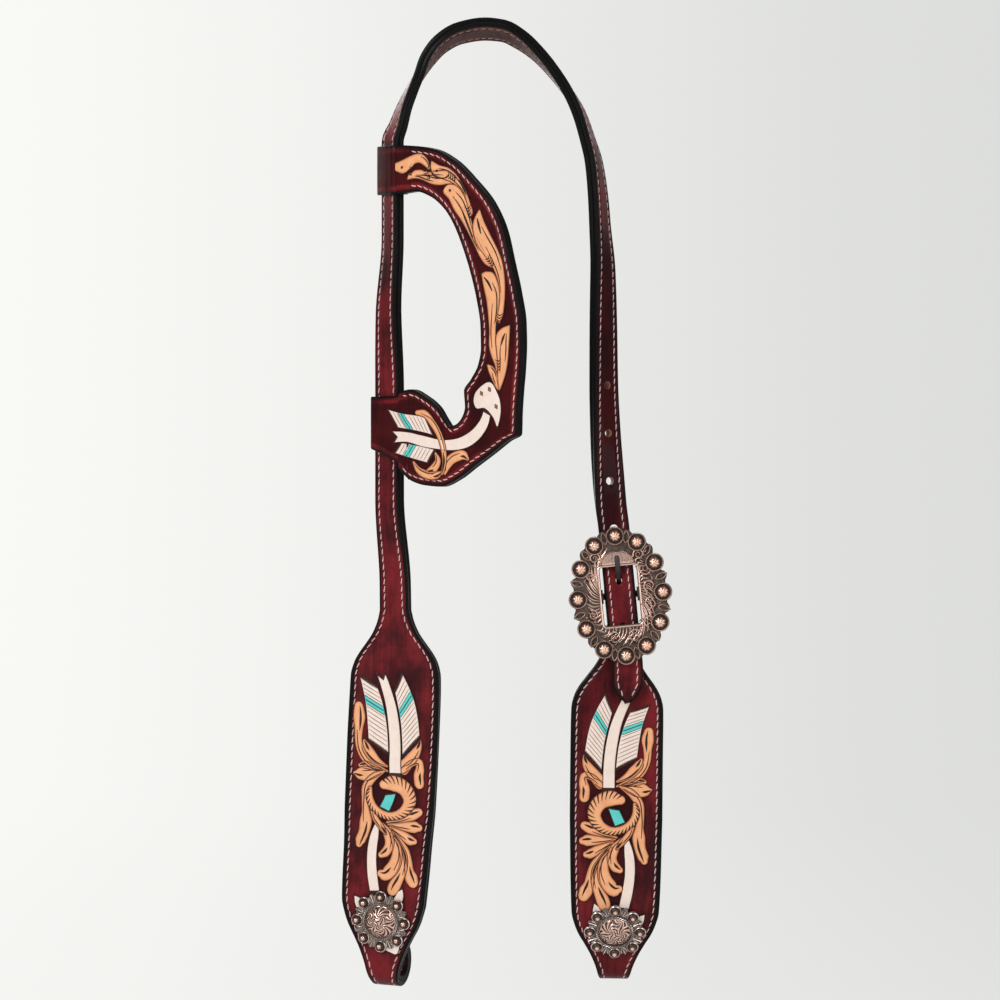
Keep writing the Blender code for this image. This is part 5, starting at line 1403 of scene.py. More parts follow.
@dataclass
class Carving:
    """Tooling that gathers its layers by finish: outlines, bodies and cuts."""

    ground: Ground
    surface: float
    mirror: bool = False
    layers: dict[Finish, Draft] = field(default_factory=dict)
    step: int = 0

    def top(self) -> float:
        """Return the height of the newest shape's top, a little above the one before it."""
        return self.surface + 0.34 * MM + 0.016 * MM * self.step

    def lay(self, patch: Patch, finish: Finish, low: float, high: float, bevel: float = 0.03 * MM,
            dished: bool = False) -> None:
        """Lay one thin solid between two heights into the mesh of its finish."""
        patch.fill(self.layers.setdefault(finish, Draft()), self.ground, low, high, bevel, dished)

    def body(self, patch: Patch, finish: Finish, outline: float = 0.34 * MM, dished: bool = True) -> float:
        """Lay a shape and its dark cut outline, which lies just above the shapes before it.

        Args:
            patch: The shape.
            finish: The finish of its body.
            outline: Width of the dark cut round it.
            dished: False for a flat top.

        Returns:
            The height of its top's edges.
        """
        self.step += 1
        high, low = self.top(), self.surface - 0.2 * MM
        # the dark outline is the cut round the shape: antique dye and a painted shade of its groove
        self.lay(patch.grown(outline), Finish.CUT, low, high - 0.006 * MM, 0.04 * MM, dished)
        self.lay(patch, finish, low, high, 0.1 * MM, dished)
        return high

    def cuts(self, patch: Patch, high: float, paths: Sequence) -> None:
        """Cut lines into a shape: each is a path of shares and half widths."""
        for path in paths:
            self.lay(scratch(patch, path), Finish.CUT, high - 0.4 * MM, high + 0.005 * MM)

    def line(self, points: Sequence[tuple[float, float]], half: float, finish: Finish = Finish.CUT) -> None:
        """Cut a smooth line over the shapes so far, thinner at its ends, all in millimetres."""
        width = half * (0.4 + 0.6 * np.sin(np.linspace(0, math.pi, len(points))))
        high = self.top() + 0.005 * MM
        patch = Patch.leaf([(x, y, w) for (x, y), w in zip(points, width)], self.mirror, 20)
        self.lay(patch, finish, high - 0.5 * MM, high + 0.01 * MM)

    def stops(self, x: float, y: float, heading: float, count: int = 4) -> None:
        """Stamp short arcs one after another along a heading, each bowed forward."""
        along = np.array([math.cos(heading), math.sin(heading)])
        side = np.array([-along[1], along[0]])
        for step in range(count):
            middle = np.array([x, y]) + along * 1.5 * (step - (count - 1) / 2)
            reach = 1.9 - 0.25 * step
            self.line([middle - side * reach - along * 1.1, middle, middle + side * reach - along * 1.1], 0.3)

    def leaf(self, controls: Sequence[Control], bend: float = 1.0) -> None:
        """Lay a leaf with a dark seed near its tip and a long cut along its hollow side.

        Args:
            controls: Its spine and half widths.
            bend: The side of its hollow, 1 or -1.
        """
        patch = Patch.leaf(controls, self.mirror)
        bend = -bend if self.mirror else bend
        side, seed = 0.5 - 0.2 * bend, 0.5 + 0.12 * bend
        self.cuts(patch, self.body(patch, Finish.TAN), (
            ((0.68, seed, 0.12), (0.77, seed, 0.62), (0.85, seed, 0.48), (0.92, seed, 0.12)),
            ((0.14, 0.5, 0.12), (0.3, side, 0.26), (0.5, side, 0.28), (0.68, side, 0.14)),
        ))

    def vane(self, left: Sequence, right: Sequence, band: tuple[float, float], barbs: int) -> None:
        """Lay one side of the fletching: a white vane with brown barbs and a turquoise band.

        Args:
            left: Places of its left edge in millimetres.
            right: Places of its right edge.
            band: Shares along at which the band starts and ends.
            barbs: How many gaps lie between the barbs.
        """
        patch = Patch.between(left, right, self.mirror)
        high = self.body(patch, Finish.WHITE, dished=False)
        low, raised = high - 0.1 * MM, high + 0.05 * MM
        self.lay(patch.part(band, (0.01, 0.99)), Finish.TURQUOISE, low, raised, 0.04 * MM)
        for share in np.linspace(0.045, 0.955, barbs):
            if not band[0] - 0.03 < share < band[1] + 0.03:
                line = scratch(patch, ((share, 0.05, 0.10), (share, 0.5, 0.17), (share, 0.95, 0.10)), 5)
                self.lay(line, Finish.BARB, low, raised)
        for share, half in ((band[0], 0.14), (sum(band) / 2, 0.24), (band[1], 0.14)):
            line = scratch(patch, ((share, 0.06, half), (share, 0.94, half)), 4)
            self.lay(line, Finish.CUT, low, high + 0.09 * MM)

    def plain(self, left: Sequence, right: Sequence, finish: Finish, outline: float = 0.34 * MM) -> None:
        """Lay a flat shape between two edges."""
        self.body(Patch.between(left, right, self.mirror), finish, outline, False)

    def finish(self, name: str, body: Body) -> None:
        """Make one piece of each finish."""
        for finish, draft in self.layers.items():
            draft.piece(f"{name}_{finish.name.lower()}", finish, body, None, (), 60.0)


RIGHT_VANE = (((7.2, 54.5), (4.7, 49.4), (2.5, 43), (0.9, 35.7), (-0.4, 23.9)),
              ((16.5, 57.7), (14.5, 51.8), (13, 46.9), (11.6, 39.6), (10.3, 29.6)))
LEFT_VANE = (((-6.1, 62.9), (-10.5, 54.8), (-12.9, 49.4), (-14.9, 42), (-16.4, 32.5)),
             ((-2.4, 54.3), (-4.4, 46.9), (-6.1, 39.6), (-7.1, 32.2), (-7.8, 23.2)))
SHAFT_TOP = (((3.4, 62.6), (-0.2, 55), (-3.3, 47), (-5.2, 39), (-6.4, 30), (-6.9, 13)),
             ((7.6, 61), (4.6, 54), (2.2, 47), (0.6, 39), (-0.6, 30), (-0.9, 13)))
SHAFT_LOW = (((4.8, -10.8), (4.3, -16.5), (4.7, -23.5), (4.7, -30), (3.5, -38), (1.5, -47)),
             ((6.2, -10.8), (8.8, -18), (9.8, -25), (9.7, -31), (8.8, -38.5), (6.6, -47.5)))
UPPER_LEAVES = (
    (((-7.5, 17.6, 2.4), (-11.5, 21.5, 2.4), (-14.6, 25.4, 2), (-16.3, 28.8, 1.1), (-16.8, 31.2, 0.3)), 1),
    (((-8.6, 16, 1.6), (-13.2, 20.4, 1.3), (-16.5, 21, 1.4), (-17, 17.5, 1.8), (-16.2, 14.2, 2.1),
      (-16.4, 9.9, 2.1)), 1),
    (((0.3, 18, 0.4), (4.7, 20.2, 1.3), (8.9, 23.7, 2), (11.6, 26.9, 1.8), (12.6, 29.2, 0.7)), -1),
    (((0.3, 15.6, 0.4), (7.2, 18.1, 1.4), (12.5, 22.5, 1.6), (15.5, 28.3, 1.5), (15.8, 34.7, 1.8),
      (15.8, 39.6, 2.6), (16.3, 43.6, 2)), -1),
    (((2.3, 15.8, 0.2), (7.2, 17.1, 1.1), (11.6, 18.3, 1.5), (14.5, 18, 0.8)), -1),
    (((2.3, 15.7, 0.3), (7.2, 14.8, 2.2), (12, 13.8, 3), (15.5, 13.6, 2.3), (17.5, 13.9, 0.7)), 1),
    (((1.8, 15.5, 0.4), (7.2, 12.5, 1.5), (11.6, 7.1, 1.8), (12.8, 0.7, 1.3), (12, -5.6, 1.7),
      (11.7, -11, 2.7), (12.6, -16.9, 2.3), (14.1, -20.8, 2.3), (14.6, -22.6, 1.5)), 1),
)
LOWER_LEAVES = (
    (((0.3, -10.6, 0.4), (-4.6, -9.6, 1.1), (-9.5, -7.8, 1.7), (-13.4, -5.9, 2.3), (-16, -4.7, 1.9)), 1),
    (((-0.4, -11.6, 0.3), (-6.1, -12, 1.2), (-11.5, -12.2, 2.1), (-14.9, -12.2, 2.4), (-17, -12.4, 1.6)), 1),
    (((-1.4, -13, 0.3), (-6.1, -15.2, 1.2), (-10.5, -17.6, 1.9), (-13.4, -19.1, 2), (-15.1, -19.4, 1.4)), 1),
    (((-2.6, -14.4, 0.3), (-7.5, -19.8, 1), (-11.2, -24.7, 1.5), (-12.8, -29.6, 1.7), (-13.8, -34.5, 2),
      (-15.2, -38, 2.8), (-16.2, -40, 2.4)), 1),
    (((-2.6, -14.9, 0.3), (-7.3, -21.3, 0.9), (-10.2, -27.2, 1.5), (-10.3, -33.1, 1.8), (-8.3, -38.9, 2.2),
      (-6.4, -42.6, 2.7), (-5.6, -44.6, 2.6)), -1),
    (((-2.2, -16.4, 0.4), (-6, -22.8, 1.8), (-6.3, -29, 2.5), (-3.8, -34.6, 2.9), (-0.2, -37.4, 2.6),
      (1.6, -37, 1.6)), -1),
    (((2.6, -11.6, 0.6), (-0.6, -16.4, 1.9), (-2, -21.4, 2), (-0.2, -25.8, 2), (2, -27.3, 1.4)), -1),
)
RING = ((2.2, 8.6, 2.4), (-2.8, 9.4, 4), (-8.6, 7, 3.8), (-11.2, 1.2, 3.4), (-8.3, -4.6, 2.7),
        (-2.6, -7.3, 2.1), (3.4, -6.4, 1.9), (8.2, -2.8, 1.9), (10.2, 2.2, 1.8), (9.6, 6.4, 1))
STEM = ((8.6, -5.6, 0.8), (6.4, -9.2, 1.5), (3.4, -12.8, 1.5), (0.6, -16.4, 0.6))
RING_STONE = (((-3.9, 4.3), (-2.2, -0.4), (-0.4, -5)), ((1.5, 3.3), (3, 0.2), (4.5, -2.9)))
ARROW_HEAD = (
    (((-10.6, -43.2), (-11.6, -47.5), (-10.4, -53), (-9.6, -68.5)),
     ((-9.2, -44.6), (-6, -50), (-3, -55), (0, -68.8))),
    (((13.6, -49.6), (9.4, -51.6), (4, -56), (0, -68.8)),
     ((15.2, -48.6), (14.6, -53), (11, -58.5), (9.6, -68.3))),
    (((-11, -62), (-10.4, -72.4), (-8.8, -77.6)), ((8, -62), (2.6, -73), (-8.2, -78))),
)
LEAF_GROWTH = 1.22
ARROW_NOTCH = 3.0 * MM


def carve_paddle(ground: PaddleGround, mirror: bool, name: str, body: Body) -> None:
    """Tool one cheek paddle: an arrow, a rope ring and scrolled leaves.

    Args:
        ground: The paddle.
        mirror: True for the left cheek, whose drawing is turned over.
        name: First part of the pieces' names.
        body: The body that they ride on.
    """
    art = Carving(ground, STRAP_THICKNESS / 2, mirror)
    for controls, bend in UPPER_LEAVES:
        art.leaf([(x, y, w * LEAF_GROWTH) for x, y, w in controls], bend)
    art.body(replace(Patch.between(*SHAFT_TOP, mirror), notch=ARROW_NOTCH), Finish.WHITE, dished=False)
    art.vane(*LEFT_VANE, (0.30, 0.42), 14)
    art.vane(*RIGHT_VANE, (0.30, 0.43), 14)
    art.plain(*SHAFT_LOW, Finish.WHITE)
    for controls, bend in LOWER_LEAVES:
        art.leaf([(x, y, w * LEAF_GROWTH) for x, y, w in controls], bend)
    rope = Patch.leaf(RING, mirror, 60)
    outer, span = (0.0, 1.0) if mirror else (1.0, -1.0)
    twists = [((t, outer + span * 0.03, 0.44), (t + 0.014, outer + span * 0.26, 0.30),
               (t + 0.03, outer + span * 0.5, 0.10)) for t in np.linspace(0.05, 0.93, 27)]
    art.cuts(rope, art.body(rope, Finish.TAN), twists)
    art.leaf(STEM)
    art.plain(*RING_STONE, Finish.TURQUOISE, 0.5 * MM)
    for edges in ARROW_HEAD[:3 if mirror else 2]:
        art.plain(*edges, Finish.WHITE, 0.35 * MM)
    art.finish(name, body)


@dataclass(frozen=True)
class PaddleGround:
    """A paddle as ground for its tooling: x across as seen from the front, y up from the ring.

    Lengths along the way grow upwards for upward 1 and downwards for -1. The arrow's top may lean
    and rise, and more so to its left by the slant.
    """

    way: Way
    ring: float
    upward: float
    lean: float = 0.0
    rise: float = 0.0
    slant: float = 0.0

    def place(self, x: Values, y: Values, h: Values) -> Array:
        """Return the place on the way at the ring's length plus or minus y, with the arrow's top moved."""
        x = x + self.lean * np.clip(y / (20 * MM), 0, 1)
        y = y + (self.rise + self.slant * np.maximum(-x, 0)) * np.clip((y - 22 * MM) / (36 * MM), 0, 1)
        return self.way.place(x * self.upward, self.ring + self.upward * y, h)


EAR_SCROLL = ((0.8, -11.2, 2.5), (3.8, -11.2, 3.4), (7.2, -9.5, 2.9), (11.2, -7.4, 2.3), (15.2, -7.3, 2.3),
              (18.4, -9.5, 1.8), (20.3, -12.3, 0.7))
EAR_LEAVES = (
    (((31.2, -22), (29.6, -24.2), (33.2, -28.2), (37.2, -34.5), (40.5, -38.2), (45.8, -45.6), (49.8, -52),
      (53.7, -58.5), (57, -62), (61.6, -63.8)),
     ((31.6, -21.8), (33.2, -20.9), (37.8, -21.5), (41.8, -24.7), (44.5, -29), (46, -33.2), (47.8, -39.5),
      (50.4, -46.8), (54.4, -53.6), (60.3, -60.5), (63.2, -63.4))),
    (((6.6, -17.8), (7.4, -15.5), (10.5, -13.5), (15.2, -13.1), (20.5, -14.3), (25.9, -13.9), (32.5, -14.1),
      (37.3, -16.8)),
     ((6.8, -17.9), (10.5, -17.3), (14.5, -17.6), (18.5, -19), (21.9, -20.3), (27.2, -21.1), (33.2, -20.6),
      (36.8, -20.7))),
    (((21.9, -8.8), (21.6, -12.3), (23.5, -15.4), (28.5, -17.6), (35.2, -19.9), (40.5, -23.2), (44.2, -28.4),
      (46, -33.2), (47, -37.9)),
     ((22.1, -8.6), (27.2, -11), (33.2, -12.6), (37.8, -15.8), (41.8, -20.6), (45.1, -26.4), (47.4, -31.6),
      (48.7, -35.8), (47.5, -38.2))),
    (((53.1, -33.9), (50, -38.5), (48.8, -42.6), (49.5, -46.8), (51.7, -52), (56.4, -57.3), (60.3, -61.5),
      (63.6, -66.8), (65.8, -73), (65.8, -80.3), (64.5, -87.5), (63.6, -91.1)),
     ((53.3, -33.9), (55.7, -39.6), (58.7, -44.9), (62, -50.1), (65.2, -55.4), (67.6, -60.6), (69, -66.9),
      (69.5, -75.2), (69, -82.4), (67.6, -89.1), (65.8, -92.2))),
    (((54.4, -66.6), (55.7, -72.9), (57.7, -80.2), (58.7, -87.4), (59.5, -95.4), (59.5, -104.2),
      (61.4, -109.5), (62.9, -112.4), (64.3, -117.1)),
     ((57, -65.6), (61.6, -66.2), (64.5, -70.4), (66, -76.1), (65.6, -83.4), (64, -90.1), (63.6, -99.6),
      (64.2, -104.2), (64.7, -109.5), (65.8, -115))),
    (((58, -112.9), (59.2, -116.4), (61.4, -120.5), (63.6, -124.1), (65.2, -126)),
     ((58.8, -112.6), (61.5, -113.7), (63.6, -115.9), (64.5, -118.2), (65.1, -121.7), (65.8, -125.3))),
    (((72.5, -93), (67.7, -94.4), (64.7, -96.7), (63.6, -99.6), (64, -104.2), (64.5, -108.3), (65.1, -112.4),
      (64.9, -117.1), (64.7, -120.6), (65.5, -125.3)),
     ((72.7, -93), (72.4, -98.5), (71.9, -104.3), (71.4, -110.2), (70.3, -116), (68.2, -121.8),
      (66, -126.1))),
)
EAR_VEINS = (
    ((0.16, 0.66, 0.12), (0.26, 0.76, 0.34), (0.40, 0.80, 0.38), (0.56, 0.76, 0.12)),
    ((0.34, 0.40, 0.10), (0.48, 0.30, 0.26), (0.62, 0.26, 0.30), (0.76, 0.32, 0.10)),
)
EAR_CUTS = (
    ((7.8, -15.7), (9, -14.6), (10.5, -13.4)),
    ((21.6, -12.6), (22.5, -15.4), (26.5, -17.3), (31.2, -17.4), (33.4, -15.7)),
    ((15.2, -6.2), (18.4, -8.1), (20.2, -11), (19.9, -13.6)),
    ((12, -15.6), (18, -16), (25, -17.6), (32, -17.6)),
    ((36, -27), (41, -33), (45.5, -41), (49, -48)),
)
EAR_SEEDS = (
    ((51.7, -38.7), (52.6, -42), (54, -46.3)),
    ((56.1, -68.5), (58.6, -71.1), (61.1, -75.3)),
    ((69.5, -97.2), (68.3, -99.5), (66.9, -103.1)),
    ((40, -18.9), (42.5, -22.4), (44.4, -26.4)),
)
EAR_HOLES = ((3.3, -11.5), (25.5, -13.8), (34, -24))
EAR_STOPS = ((19.6, -15.6, -60), (35.2, -17.6, -30), (46.6, -35.6, -72), (60.1, -61, -52),
             (65.6, -90.2, -100), (65.4, -113.4, -84))
EAR_RING = ((12.8, -136.7, 1.2), (17.5, -137.2, 1.8), (22.8, -142.1, 1.8), (27.4, -148.5, 1.7),
            (30, -155.8, 1.6), (30.6, -162.2, 1.2), (29.2, -167.7, 0.8))
EAR_LOW_LEAVES = (
    (((30.9, -167.7, 0.8), (33.6, -161.8, 2.7), (38.5, -159.1, 2.7), (43.1, -158.6, 2.3),
      (45.5, -160.3, 1)), 1),
    (((10.5, -162, 0.6), (13.4, -165.8, 1.6), (19.3, -168.4, 2.1), (25.7, -168.6, 1.8),
      (28.6, -167.2, 0.8)), 1),
    (((24.8, -157.5, 0.6), (26.3, -161.3, 1.8), (23.9, -164.9, 2.3), (19.9, -166.6, 1.2)), -1),
)
EAR_HEAD = (((58.8, -121.3), (53.6, -124.1), (50.1, -127.7), (49.4, -131.8), (51.2, -134.8), (55.9, -134.5),
             (60.3, -137.6), (62.8, -140.7), (64.5, -144.9)),
            ((58.9, -121.3), (61.4, -122.5), (63.9, -126), (66, -130.1), (66.8, -134.2), (66.7, -137.8),
             (66, -141), (64.6, -144.9)))
EAR_HEAD_SEEDS = ((54.5, -127.3), (59.6, -125.3), (63.9, -134))
EAR_SHAFT = (((-4.1, -146.1), (5.8, -146.6), (16.4, -148.5), (31.5, -150.8), (40.8, -149.5), (50.1, -144.5),
              (54.9, -138.7), (56.1, -135.2)),
             ((-2.9, -151.9), (5.8, -151.6), (16.4, -154), (26.9, -155.4), (37.3, -155.9), (46.6, -154.1),
              (54.7, -148.7), (59.1, -142.3), (60.3, -137.1)))
EAR_VANES = (
    (((-6.5, -135), (3.5, -137.2), (13.4, -138.4), (18.5, -139.2)),
     ((-0.1, -144), (8.2, -145.2), (16.4, -146.6), (23.4, -148.2))),
    (((2.3, -152.1), (9.3, -153), (17.5, -154.4), (24.5, -155.8)),
     ((-1.8, -157), (5.8, -159), (12.8, -160.7), (19.9, -162.3))),
)


def carve_ear(ear: EarPiece) -> None:
    """Tool the ear piece: scrolled leaves down its curve and an arrow across its lower end.

    Args:
        ear: The ear piece, whose plate and flaps are the ground.
    """
    surface = EAR_THICKNESS / 2
    art = Carving(FlapGround(ear.plate, *ear.flap(ear.lower)), surface)
    upper = Carving(FlapGround(ear.plate, *ear.flap(ear.upper)), surface, layers=art.layers)
    for left, right in EAR_LEAVES:
        leaf = Patch.between(left, right, rows=40)
        upper.cuts(leaf, upper.body(leaf, Finish.TAN, 0.45 * MM), EAR_VEINS)
    upper.body(Patch.leaf(EAR_SCROLL, rows=40), Finish.TAN, 0.45 * MM)
    for points in EAR_CUTS:
        upper.line(points, 0.32)
    for points in EAR_SEEDS:
        upper.line(points, 0.62)
    for x, y in EAR_HOLES:
        upper.line(((x - 0.5, y - 0.3), (x, y), (x + 0.5, y + 0.3)), 0.75)
    for x, y, heading in EAR_STOPS:
        upper.stops(x, y, math.radians(heading))
    for left, right in EAR_VANES:
        art.vane(left, right, (0.28, 0.44), 10)
    art.step += 2
    art.plain(*EAR_HEAD, Finish.WHITE)
    for x, y in EAR_HEAD_SEEDS:
        art.line(((x - 0.6, y + 0.9), (x, y), (x + 0.6, y - 0.9)), 1.15, Finish.BARB)
    art.body(replace(Patch.between(*EAR_SHAFT, rows=40), notch=ARROW_NOTCH), Finish.WHITE, dished=False)
    for controls, bend in EAR_LOW_LEAVES:
        art.leaf(controls, bend)
    art.leaf(EAR_RING)
    art.finish("ear_tooling", Body.EAR)


# ---- metal ----


def berry(node: str, body: Body, ground: Ground, x: float, y: float, h: float, radius: float, height: float,
          flutes: int = 8, foot: float = 0.60) -> None:
    """Make a domed berry with a star of flutes.

    At elevation a and angle b a point lies radius times cos(a) out and height times sin(a) up, less a
    flute's depth times (1 + cos(flutes b)) / 2. The paint is 1 on the ribs near the top, a painted highlight
    on rubbed copper.

    Args:
        node: The CAD node that it stands for.
        body: The body that it rides on.
        ground: The plane that it sits on.
        x: Place across.
        y: Place up.
        h: Height of its seat.
        radius: Its radius.
        height: Its height.
        flutes: How many flutes it has.
        foot: Elevation in radians at which the painted highlight on its ribs starts.
    """
    rise = np.radians([0, 12, 24, 34, 44, 53, 61, 69, 76, 82, 87])[:, None]
    around = np.linspace(0, math.tau, 6 * flutes, endpoint=False)[None]
    valley = (1 + np.cos(flutes * around)) / 2
    depth = np.clip((rise - 0.35) / 0.5, 0, 1) * np.cos(rise) ** 0.5
    out = radius * np.cos(rise)
    up = height * np.sin(rise) - 0.16 * radius * valley * depth
    # bright ribs near the top: a painted highlight on the rubbed copper, with the flute valleys and the lower
    # ball in the hollow colour
    paint = np.clip((rise - foot) * 1.7, 0, 1) * (1 - 0.8 * valley * np.clip(2.0 - rise * 1.45, 0, 1))
    rings = ground.place(x + out * np.cos(around), y + out * np.sin(around), h + np.where(rise > 0, up, 0.0))
    draft = Draft()
    draft.tube(rings, paint=paint)
    draft.piece(node + "_fluted", Finish.COPPER, body, Slot.COPPER, [node], 60.0)


def ring_bead(draft: Draft, ground: Ground, x: float, y: float, h: float, radius: float, wide: float,
              high: float, paint: float = 0.75, sides: int = 40) -> None:
    """Add a ring of oval section round a place: radius plus wide cos(a) out and high sin(a) up."""
    around = np.linspace(0, math.tau, sides, endpoint=False)[:, None]
    section = np.radians(np.arange(0, 360, 45))[None]
    out = radius + wide * np.cos(section)
    rings = ground.place(x + out * np.cos(around), y + out * np.sin(around), h + high * np.sin(section))
    crest = paint * (0.4 + 0.6 * np.clip(np.sin(section), 0, 1))
    draft.tube(rings, paint=crest, closed=True)


def ridge(draft: Draft, ground: Ground, controls: Sequence[Control], low: float, high: float,
          paint: float = 0.9, rows: int = 14) -> None:
    """Add a raised line of half-round section along a smooth spine.

    Args:
        draft: The mesh to add to.
        ground: The plane that it is cast on.
        controls: Place across, place up and half width of each point, in millimetres.
        low: Height of its foot.
        high: Height of its crest where it is as wide as it is tall.
        paint: How rubbed its crest is.
        rows: How many rings it has.
    """
    patch = Patch.leaf(controls, rows=rows)
    v = np.array([0.0, 0.16, 0.5, 0.84, 1.0])
    place = patch.left[:, None] + (patch.right - patch.left)[:, None] * v[:, None]
    lift = low + (high - low) * np.array([0.0, 0.75, 1.0, 0.75, 0.0]) * np.ones((len(patch.left), 1))
    lift[[0, -1], 1:-1] = low + 0.25 * (high - low)
    crest = paint * np.array([0.0, 0.6, 1.0, 0.6, 0.0])
    draft.tube(ground.place(place[..., 0], place[..., 1], lift), paint=crest)


def fan(x: float, y: float, angle: float, steps: Sequence[Control]) -> list[Control]:
    """Return control points round a place: each step is a radius, a turn from the angle and a half width."""
    return [(x + r * math.cos(angle + turn), y + r * math.sin(angle + turn), wide) for r, turn, wide in steps]


def spiral(x: float, y: float, radius: float, turns: float, start: float, wide: float,
           sign: float = 1.0) -> list[Control]:
    """Return the spine of a spiral whose radius falls evenly, as control points in millimetres."""
    t = np.linspace(0, 1, int(10 * turns) + 4)
    angle = start + sign * math.tau * turns * t
    out = radius * (1 - 0.86 * t)
    return list(zip(x + out * np.cos(angle), y + out * np.sin(angle), wide * (1 - 0.45 * t)))


@dataclass
class Buckle:
    """The berry buckle: cups and petals round the frame, engraved scrolls, berries and an arch."""

    plane: Plane
    ring_width: float = 21.8
    ring_height: float = 30.7
    berries: int = 12
    plate_top: float = STRAP_THICKNESS / 2 + 3.0 * MM
    opening: tuple[float, float, float] = (9.5, 15.0, 1.4)
    ribs: int = 62
    scrolls: tuple = (
        (14.2, 12.6, 3.3, 2.6, 1), (15.2, 4.0, 3.1, 4.2, -1), (15.2, -5.2, 3.3, 1.4, 1),
        (13.6, -14.0, 3.1, 4.4, -1), (5.4, -21.0, 3.5, 0.4, 1), (-5.0, -21.2, 3.3, 2.8, -1),
        (11.2, 20.4, 2.9, 3.4, -1), (-11.4, 20.2, 2.9, 6.0, 1), (-14.6, 11.0, 2.5, 5.2, 1),
        (-14.8, -8.6, 2.6, 1.8, -1))

    def oval(self, turns: float, share: float = 1.0) -> tuple[float, float]:
        """Return a place on the oval of berries in millimetres, clockwise from its top."""
        angle = math.tau * turns
        return self.ring_width * share * math.sin(angle), self.ring_height * share * math.cos(angle)

    def build(self) -> None:
        """Make the berries, the cast relief and the opening's bead."""
        relief = Draft()
        for index in range(self.berries):
            x, y = (MM * value for value in self.oval(index / self.berries))
            berry(f"buckle_berry_{index + 1:02d}", Body.CROWN, self.plane, x, y, self.plate_top + 0.3 * MM,
                  3.8 * MM, 3.0 * MM)
            ring_bead(relief, self.plane, x, y, self.plate_top + 0.25 * MM, 4.25 * MM, 0.6 * MM, 0.95 * MM,
                      0.6)
            self.petal(relief, (index + 0.5) / self.berries)
        self.engrave(relief)
        self.bead(relief)
        self.arch(relief)
        relief.piece("buckle_relief", Finish.RELIEF, Body.CROWN, Slot.GUNMETAL)

    def petal(self, draft: Draft, turns: float) -> None:
        """Add one pointed leaf between two cups: a rib along either side and one down its middle."""
        foot, out = np.array(self.oval(turns, 0.94)), unit(np.array(self.oval(turns)))
        side = np.array([-out[1], out[0]])
        top, tall = self.plate_top - 0.1 * MM, self.plate_top + 0.75 * MM
        for sign in (-1, 1):
            rows = [foot + out * a + side * sign * b
                    for a, b in ((-1.0, 0.2), (1.0, 1.4), (3.0, 1.25), (4.9, 0.15))]
            ridge(draft, self.plane, [(*p, 0.5) for p in rows], top, tall, 0.6)
        rows = [(*(foot + out * a), 0.28) for a in (0.2, 1.8, 3.6)]
        ridge(draft, self.plane, rows, top, tall - 0.3 * MM, 0.3, 8)

    def engrave(self, draft: Draft) -> None:
        """Add slanted ribs between the opening and the berries, and scrolls over them."""
        top = self.plate_top - 0.1 * MM
        wide, high, _ = self.opening
        for index in range(self.ribs):
            turns = index / self.ribs
            direction = np.array([math.sin(math.tau * turns), math.cos(math.tau * turns)])
            inner = direction * (1.5 + np.min(np.array([wide, high]) / np.maximum(np.abs(direction), 1e-6)))
            outer = np.array(self.oval(turns + 0.045, 0.84 if index % 2 else 0.79))
            if np.linalg.norm(outer) >= np.linalg.norm(inner) + 1.0 and abs(turns - 0.5) <= 0.43:
                bow = (inner + outer) / 2 + np.array([direction[1], -direction[0]]) * -1.5
                rows = [(*inner, 0.3), (*bow, 0.44), (*outer, 0.3)]
                ridge(draft, self.plane, rows, top, top + 0.5 * MM, 0.9, 9)
        for x, y, radius, start, sign in self.scrolls:
            disc = Patch.leaf([(x, y + side * radius, 0.95 * radius) for side in (-0.3, 0.3)], rows=6)
            disc.fill(draft, self.plane, top, top + 0.42 * MM, 0.2 * MM, False, hollow=True)
            rows = spiral(x, y, radius, 1.7, start, 0.56, sign)
            ridge(draft, self.plane, rows, top + 0.2 * MM, top + 1.0 * MM, 1.0, 40)
            for a in start + math.tau * np.arange(4) / 4:
                rows = fan(x, y, a, ((radius + 0.5, 0.0, 0.45), (radius + 1.3, 0.12, 0.4),
                                     (radius + 2.1, 0.3, 0.2)))
                ridge(draft, self.plane, rows, top, top + 0.75 * MM, 0.8, 6)

    def bead(self, draft: Draft) -> None:
        """Add the round bead along the edge of the rounded opening."""
        flat, normal = oblong(*((value + 0.75) * MM for value in self.opening), 6)
        section = np.radians(np.arange(0, 360, 45))
        ring = flat[:, None] + normal[:, None] * (0.55 * MM * np.cos(section))[:, None]
        height = self.plate_top + 0.45 * MM * np.sin(section)
        draft.tube(self.plane.place(ring[..., 0], ring[..., 1], height),
                   paint=np.clip(np.sin(section), 0, 1), closed=True)

    def arch(self, draft: Draft) -> None:
        """Add the raised half moon over the opening, with its rim and three small scrolls."""
        angle = np.linspace(0, math.pi, 21)
        outer = rows_of(8.4 * np.cos(angle), 16.4 + 6.6 * np.sin(angle))
        inner = rows_of(8.4 * np.cos(angle), 15.9)
        moon = Patch(outer[1:-1] * MM, inner[1:-1] * MM)
        moon.fill(draft, self.plane, self.plate_top - 0.2 * MM, self.plate_top + 0.35 * MM, 0.15 * MM, False)
        top = self.plate_top + 0.2 * MM
        ridge(draft, self.plane, [(x, y, 0.45) for x, y in outer], top - 0.3 * MM, top + 0.65 * MM, 0.9, 40)
        for x, start, sign in ((-4.6, 0.4, 1), (4.6, 2.7, -1)):
            rows = spiral(x, 18.3, 1.7, 1.4, start, 0.3, sign)
            ridge(draft, self.plane, rows, top, top + 0.45 * MM, 0.9, 26)
        for x in (-2.4, 2.4):
            rib = [(x, 16.8, 0.25), (x * 1.15, 19.0, 0.32), (x * 0.8, 21.4, 0.2)]
            ridge(draft, self.plane, rib, top, top + 0.4 * MM, 0.8, 8)


